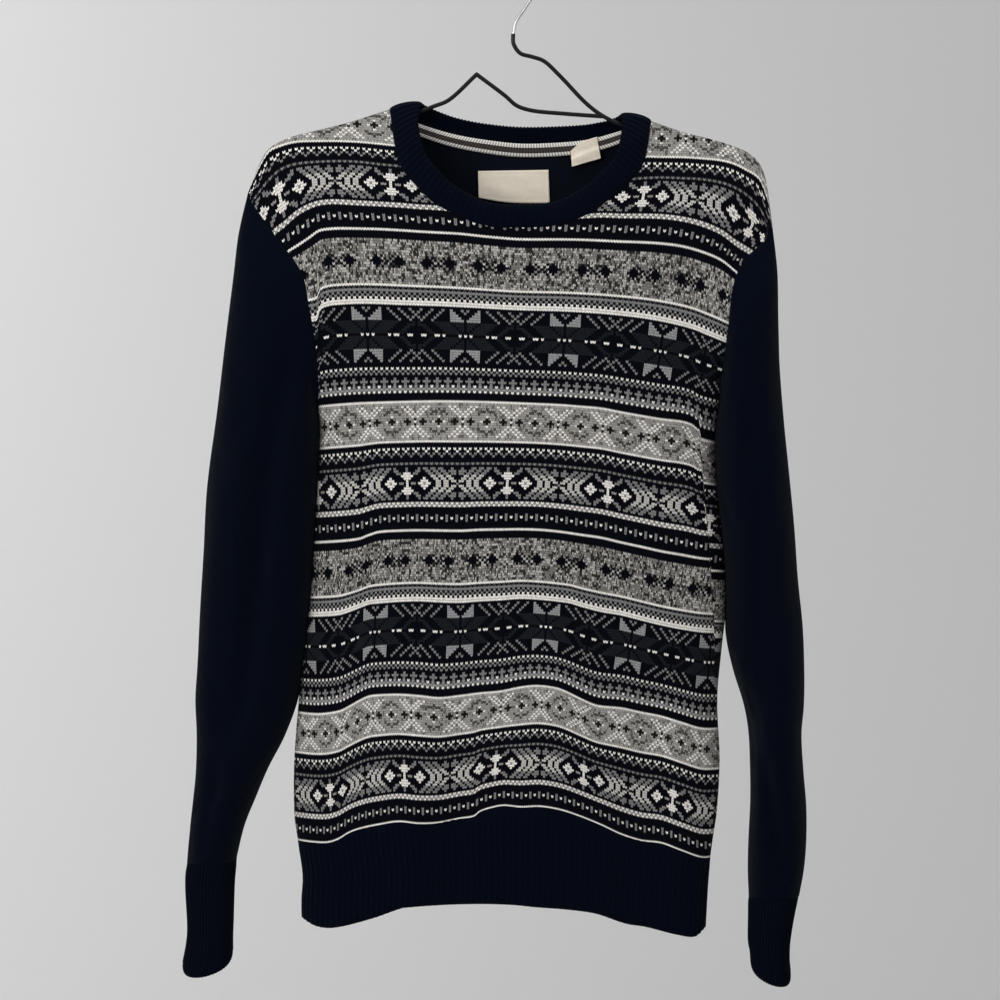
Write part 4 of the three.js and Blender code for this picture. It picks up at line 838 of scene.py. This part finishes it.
def seam_line(rows, is_front):
    """Half of the neck seam, on the body's surface."""
    line = through(rows, NECK_POINTS)
    off = stand_off(is_front, line[:, 0], line[:, 1])
    off[0] = off[-1] = 0
    return evenly(np.stack([line[:, 0], -off if is_front else off, line[:, 1]], 1), NECK_COUNT)


def free_line(rows, depth):
    """Half of the band's free edge, bowed to the front or the back."""
    line = through(rows, NECK_POINTS)
    share = np.linspace(0, 1, NECK_POINTS)
    y = depth * np.sin(np.pi * share) ** 0.5
    return evenly(np.stack([line[:, 0], y, line[:, 1]], 1), NECK_COUNT)


neck_seams = [seam_line(NECK_SEAM_FRONT, True), seam_line(NECK_SEAM_BACK, False)]
neck_frees = [free_line(NECK_EDGE_FRONT, -35), free_line(NECK_EDGE_BACK, 15)]
low_line, high_line = closed_ring(*neck_seams), closed_ring(*neck_frees)
levels = np.linspace(0, 1, NECK_ROWS)[:, None, None]
grid = low_line[None] + (high_line - low_line)[None] * levels
bulge = 2.6 * np.sin(np.pi * np.clip(levels, 0.02, 1)) ** 0.6 + 0.4
grid = grid + normals_of(grid, NECK_MIDDLE) * bulge
grid = ribbed(grid, NECK_RIBS, NECK_MIDDLE, np.minimum(levels[..., 0] * 8, 1))
neckband = grid_mesh("neckband_rib", grid,
                     leg_uv(grid, NECK_RIBS * LEGS_PER_RIB, NECK_COURSES), closed=True)
neckband.data.materials.append(navy_rib)
with_wall(neckband, NECK_WALL)
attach(neckband, "root")
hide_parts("neckband")

# Neck tape: a woven tape, cream with a broad grey-brown stripe, stitched over the back seam.
# It is sewn along both edges and lies flat on the inside.
TAPE_HALF_WIDTH = 5.9
TAPE_FROM, TAPE_TO = 0.09, 0.9
TAPE_OFF_SEAM = 3.6
TAPE_NEAREST = 4.6
TAPE_WALL = 0.8
CREAM_COTTON = (0.95, 0.91, 0.86)
STRIPE_BROWN = (0.068, 0.056, 0.053)
seam_back, free_back = neck_seams[1], neck_frees[1]
first, last = int(NECK_COUNT * TAPE_FROM), int(NECK_COUNT * TAPE_TO)
seam_part, free_part = seam_back[first:last + 1:2], free_back[first:last + 1:2]
up = free_part - seam_part
up /= np.linalg.norm(up, axis=1, keepdims=True)
levels = np.linspace(-1, 1, 9)[:, None, None]
inwards = np.array([0, -1.0, 0])
tape_grid = seam_part[None] + up[None] * levels * TAPE_HALF_WIDTH
tape_grid = tape_grid + inwards * (TAPE_OFF_SEAM - 0.35 * levels ** 4)
tape_grid[..., 1] = np.maximum(tape_grid[..., 1], TAPE_NEAREST)


def woven_material(name, colour, stripes=(), threads=1500, darkest=0.82, knots=0):
    """Close woven trim: fine warp and weft, stripes along it and rows of small knots."""
    material = new_material(name, {"Roughness": 0.78, "Specular IOR Level": 0.2})
    place = add_node(material, "UVMap", {}, uv_map="Stitches")
    split = add_node(material, "SeparateXYZ", {0: place.outputs["UV"]})
    ramp = add_node(material, "ValToRGB", {"Fac": split.outputs[1]})
    ramp.color_ramp.interpolation = "CONSTANT"
    ramp.color_ramp.elements[0].color = (*colour, 1)
    ramp.color_ramp.elements.remove(ramp.color_ramp.elements[1])
    for at, tint in stripes:
        ramp.color_ramp.elements.new(at).color = (*tint, 1)
    coordinates = add_node(material, "TexCoord", {})
    warp, weft = (
        add_node(material, "TexWave", {
            "Scale": threads / 6.283, "Vector": coordinates.outputs["Object"]},
            bands_direction=direction) for direction in ("X", "Z"))
    grain = maths(material, "MULTIPLY", warp.outputs["Fac"], weft.outputs["Fac"])
    mottle = add_node(material, "TexNoise", {
        "Scale": 260, "Vector": coordinates.outputs["Object"]})
    tone = add_node(material, "MapRange", {
        "To Min": darkest, "To Max": 1.08, "Value": mottle.outputs["Fac"]}).outputs["Result"]
    if knots:
        swing = maths(material, "PINGPONG", maths(
            material, "MULTIPLY", split.outputs[0], knots), 0.5)
        knot = add_node(material, "MapRange", {
            "From Max": 0.5, "To Min": 0.32, "To Max": 1.15, "Value": swing})
        tone = maths(material, "MULTIPLY", tone, knot.outputs["Result"])
    to_shader(material, ramp.outputs["Color"], tone, grain, 0.4, 0.0003)
    return material


rows_of_tape, columns_of_tape = tape_grid.shape[:2]
tape = grid_mesh("striped_neck_tape", tape_grid, np.stack(np.meshgrid(
    np.linspace(0, 1, columns_of_tape), np.linspace(0, 1, rows_of_tape)), -1))
tape.data.materials.append(woven_material("striped_tape", CREAM_COTTON, [
    (0.28, STRIPE_BROWN), (0.70, CREAM_COTTON)], knots=80))
with_wall(tape, TAPE_WALL)
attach(tape, "root")
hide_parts("neck_tape")

# Label and size tag: two bare patches of woven cream cotton, sewn in at the back neck.
# The label lies flat under the tape, and the tag hangs over the tape, folded near its middle.
# Each outline: the top edge from left to right, then the bottom edge from left to right.
LABEL_EDGES = ([(-34.9, -190.6), (-5, -190), (25.3, -189.6)],
               [(-34.4, -213), (-8, -217), (26.4, -217.4)])
TAG_EDGES = ([(44.2, -174), (53.5, -167), (66.3, -162.8)],
             [(45.2, -187.3), (57, -184), (69.8, -180.6)])
PATCH_WALL = 0.7


def patch(name, edges, off, lift, slot, node):
    """A small woven patch at the back neck, whose lower part stands out by a lift."""
    across, rise = np.meshgrid(np.linspace(0, 1, 41), np.linspace(0, 1, 21))
    high, low = (through(edge, 41)[None] for edge in edges)
    at = low * (1 - rise[..., None]) + high * rise[..., None]
    y = stand_off(False, at[..., 0], at[..., 1]) - off
    y = y - lift * np.clip((0.62 - rise) / 0.2, 0, 1)
    y = y + 0.25 * np.sin(across * 9 + rise * 4) * np.sin(rise * 5)
    hem_near = np.minimum(np.minimum(across, 1 - across) * 40, np.minimum(rise, 1 - rise) * 20)
    y = y + 0.3 * np.exp(-((hem_near - 2) / 0.8) ** 2)
    grid = np.stack([at[..., 0], y, at[..., 1]], -1)
    made = grid_mesh(name, grid, np.stack([across, rise], -1))
    # The cream is brighter than the cotton's own colour: painted light against the shade inside
    # the neck.
    made.data.materials.append(woven_material(
        slot + "_" + name, (0.97, 0.87, 0.73), threads=2600, darkest=0.92))
    with_wall(made, PATCH_WALL)
    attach(made, "root")
    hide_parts(node)


patch("bare_label", LABEL_EDGES, 4.2, 0.3, "woven_label", "label")
patch("bare_size_tag", TAG_EDGES, 5.9, 1.6, "woven_label", "size_tag")

# Hanger: one black coated wire, bent round under both shoulders and twisted up to the neck.
# Its end is bare drawn steel, and hooks over a rail.
WIRE_RADIUS = 1.8
HOOK_RADIUS = 1.25
HOOK_BEND = 22
WIRE_BELOW_RIDGE = 5
POINTS_PER_BEND = 12
RIGHT_ARM = [(-5, -75.5), (-4.6, -84), (1, -92), (11, -95), (21, -98.6), (34, -110.5),
             (57, -134.5), (70, -144.5), (87, -152.5)]
LOOPS = [(193, -187), (199, -199), (200, -214), (193, -230), (179, -239), (160, -242),
         (-175, -239), (-193, -234), (-205, -218), (-209, -201), (-207, -186), (-198, -175)]
LEFT_ARM_IN = [(-83, -141), (-72, -137), (-60, -132), (-36, -110)]
INNER_ARM = [(-36, -110), (-12, -128), (-2, -136.5), (10, -140.5), (40, -143.5), (71, -145.7)]


def under_shoulder(table, xs):
    """Points of the wire that run along the inside of a shoulder."""
    xs = np.array(xs, float)
    z = smooth(table, xs)
    slope = smooth(table, xs + 1) - z
    return list(zip(xs, z - WIRE_BELOW_RIDGE * np.hypot(1, slope)))


def wire(name, points, radius):
    """A round wire bent through points in the plane of the hanger."""
    points = np.array([(x, 0, z) for x, z in points], float)
    steps = np.sqrt(np.linalg.norm(np.diff(points, axis=0), axis=1))
    knots = np.concatenate([[0], np.cumsum(steps)])
    slopes = np.gradient(points, knots, axis=0)
    at = np.linspace(0, knots[-1], len(points) * POINTS_PER_BEND)
    i = np.clip(np.searchsorted(knots, at, side="right") - 1, 0, len(points) - 2)
    span = (knots[i + 1] - knots[i])[:, None]
    t = (at - knots[i])[:, None] / span
    line = curve_between(points[i], points[i + 1], span * slopes[i], span * slopes[i + 1], t)
    curve = bpy.data.curves.new(name, "CURVE")
    curve.dimensions = "3D"
    curve.bevel_depth = radius / 1000
    curve.bevel_resolution = 5
    curve.use_fill_caps = True
    spline = curve.splines.new("POLY")
    spline.points.add(len(line) - 1)
    spline.points.foreach_set("co", np.c_[line / 1000, np.ones(len(line))].ravel())
    made = bpy.data.objects.new(name, curve)
    bpy.context.scene.collection.objects.link(made)
    bpy.ops.object.select_all(action="DESELECT")
    made.select_set(True)
    bpy.context.view_layer.objects.active = made
    bpy.ops.object.convert(target="MESH")
    made = bpy.context.object
    made.data.name = name
    bpy.ops.object.shade_smooth_by_angle(angle=math.radians(50))
    return made


def wire_material(name, colour, metal, specular, roughness, grain):
    """Drawn wire: one colour, an uneven gloss and a faint grain."""
    material = new_material(name, {
        "Base Color": (*colour, 1), "Metallic": metal, "Specular IOR Level": specular})
    coordinates = add_node(material, "TexCoord", {})
    wear = add_node(material, "TexNoise", {
        "Scale": 420, "Detail": 4, "Vector": coordinates.outputs["Object"]})
    gloss = add_node(material, "MapRange", {
        "To Min": roughness * 0.7, "To Max": roughness * 1.4, "Value": wear.outputs["Fac"]})
    bump = add_node(material, "Bump", {
        "Strength": 0.15, "Distance": grain, "Height": wear.outputs["Fac"]})
    bsdf = material.node_tree.nodes["Principled BSDF"]
    material.node_tree.links.new(gloss.outputs["Result"], bsdf.inputs["Roughness"])
    material.node_tree.links.new(bump.outputs["Normal"], bsdf.inputs["Normal"])
    return material


outline = (RIGHT_ARM + under_shoulder(RIGHT_SHOULDER, [108, 125, 150, 170, 182]) + LOOPS
           + under_shoulder(LEFT_SHOULDER, [-186, -165, -140, -118, -106]) + LEFT_ARM_IN)
hanger = wire("coated_hanger", outline, WIRE_RADIUS)
arm = wire("coated_hanger_arm", INNER_ARM, WIRE_RADIUS)
bpy.ops.object.select_all(action="DESELECT")
bpy.ops.mesh.primitive_uv_sphere_add(
    segments=24, ring_count=12, radius=WIRE_RADIUS * 1.02 / 1000, location=(-0.036, 0, -0.110))
bend = bpy.context.object
bpy.ops.object.transform_apply(location=True, rotation=True, scale=True)
bpy.ops.object.shade_smooth()
bpy.ops.object.select_all(action="DESELECT")
for piece in (hanger, arm, bend):
    piece.select_set(True)
bpy.context.view_layer.objects.active = hanger
bpy.ops.object.join()
hanger.data.materials.append(
    wire_material("coated_wire", (0.004, 0.004, 0.005), 0.0, 0.25, 0.3, 0.0002))
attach(hanger, "root")
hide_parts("hanger")
turn = -0.35 + (math.pi + 0.75) * np.arange(17) / 16
crown = list(zip(HOOK_BEND * np.cos(turn), HOOK_RADIUS - HOOK_BEND + HOOK_BEND * np.sin(turn)))
hook = wire("bare_hook", [(-5, -76.5), (-3, -66.5), (5, -54), (14, -40)] + crown, HOOK_RADIUS)
hook.data.materials.append(
    wire_material("bare_wire", (0.62, 0.62, 0.63), 1.0, 0.5, 0.26, 0.0001))
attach(hook, "root")
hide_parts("hook")

# Floor, backdrop, light and the camera of the photograph.
# The wall far behind is pale and plain, lighter on the left, and the light is broad and soft.
pale = new_material("pale_paint", {"Base Color": (0.83, 0.83, 0.83, 1), "Roughness": 0.9})
STAGE = {
    "floor": Matrix.Translation((0, 0, -1.8)) @ Matrix.Diagonal((16, 16, 1, 1)),
    "backdrop": (Matrix.Translation((0, 6.5, 1.4)) @ Matrix.Rotation(math.pi / 2, 4, "X")
                 @ Matrix.Diagonal((16, 7, 1, 1)))}
for plain_name, placed in STAGE.items():
    bpy.ops.object.select_all(action="DESELECT")
    bpy.ops.mesh.primitive_plane_add(size=1)
    plain = bpy.context.object
    plain.name = plain_name
    plain.data.transform(placed)
    plain.data.materials.append(pale)


def soft_light(name, place, aim, size, power):
    """A broad lamp at a place, turned to a point."""
    lamp = bpy.data.lights.new(name, "AREA")
    lamp.shape = "RECTANGLE"
    lamp.size, lamp.size_y = size
    lamp.energy = power
    holder = bpy.data.objects.new(name, lamp)
    holder.location = place
    holder.rotation_euler = (Vector(aim) - Vector(place)).to_track_quat("-Z", "Y").to_euler()
    bpy.context.scene.collection.objects.link(holder)


soft_light("left_front", (-1.6, -2.2, 0.3), (0, 0, -0.45), (1.6, 1.6), 40)
soft_light("right_front", (1.8, -1.9, 0.1), (0, 0, -0.45), (1.4, 1.4), 11)
soft_light("overhead", (0, -0.5, 1.4), (0, 0.2, -0.5), (2.4, 1.6), 13)
soft_light("backdrop_left", (-4.4, 3.7, 1.6), (-3.0, 6.5, 0.9), (2.0, 2.0), 130)
world = bpy.data.worlds.new("studio")
world.use_nodes = True
world.node_tree.nodes["Background"].inputs["Color"].default_value = (1, 1, 1, 1)
world.node_tree.nodes["Background"].inputs["Strength"].default_value = 0.35
bpy.context.scene.world = world
bpy.context.scene.view_settings.view_transform = "Standard"

CAMERA_DISTANCE = 4.0
FRAME_WIDTH = 0.85
SENSOR = 36
camera_data = bpy.data.cameras.new("camera")
camera_data.sensor_width = SENSOR
camera_data.lens = SENSOR * CAMERA_DISTANCE / FRAME_WIDTH
camera = bpy.data.objects.new("camera", camera_data)
camera.location = (-0.01615, -CAMERA_DISTANCE, -0.47175)
camera.rotation_euler = (math.pi / 2, 0, 0)
bpy.context.scene.collection.objects.link(camera)
bpy.context.scene.camera = camera
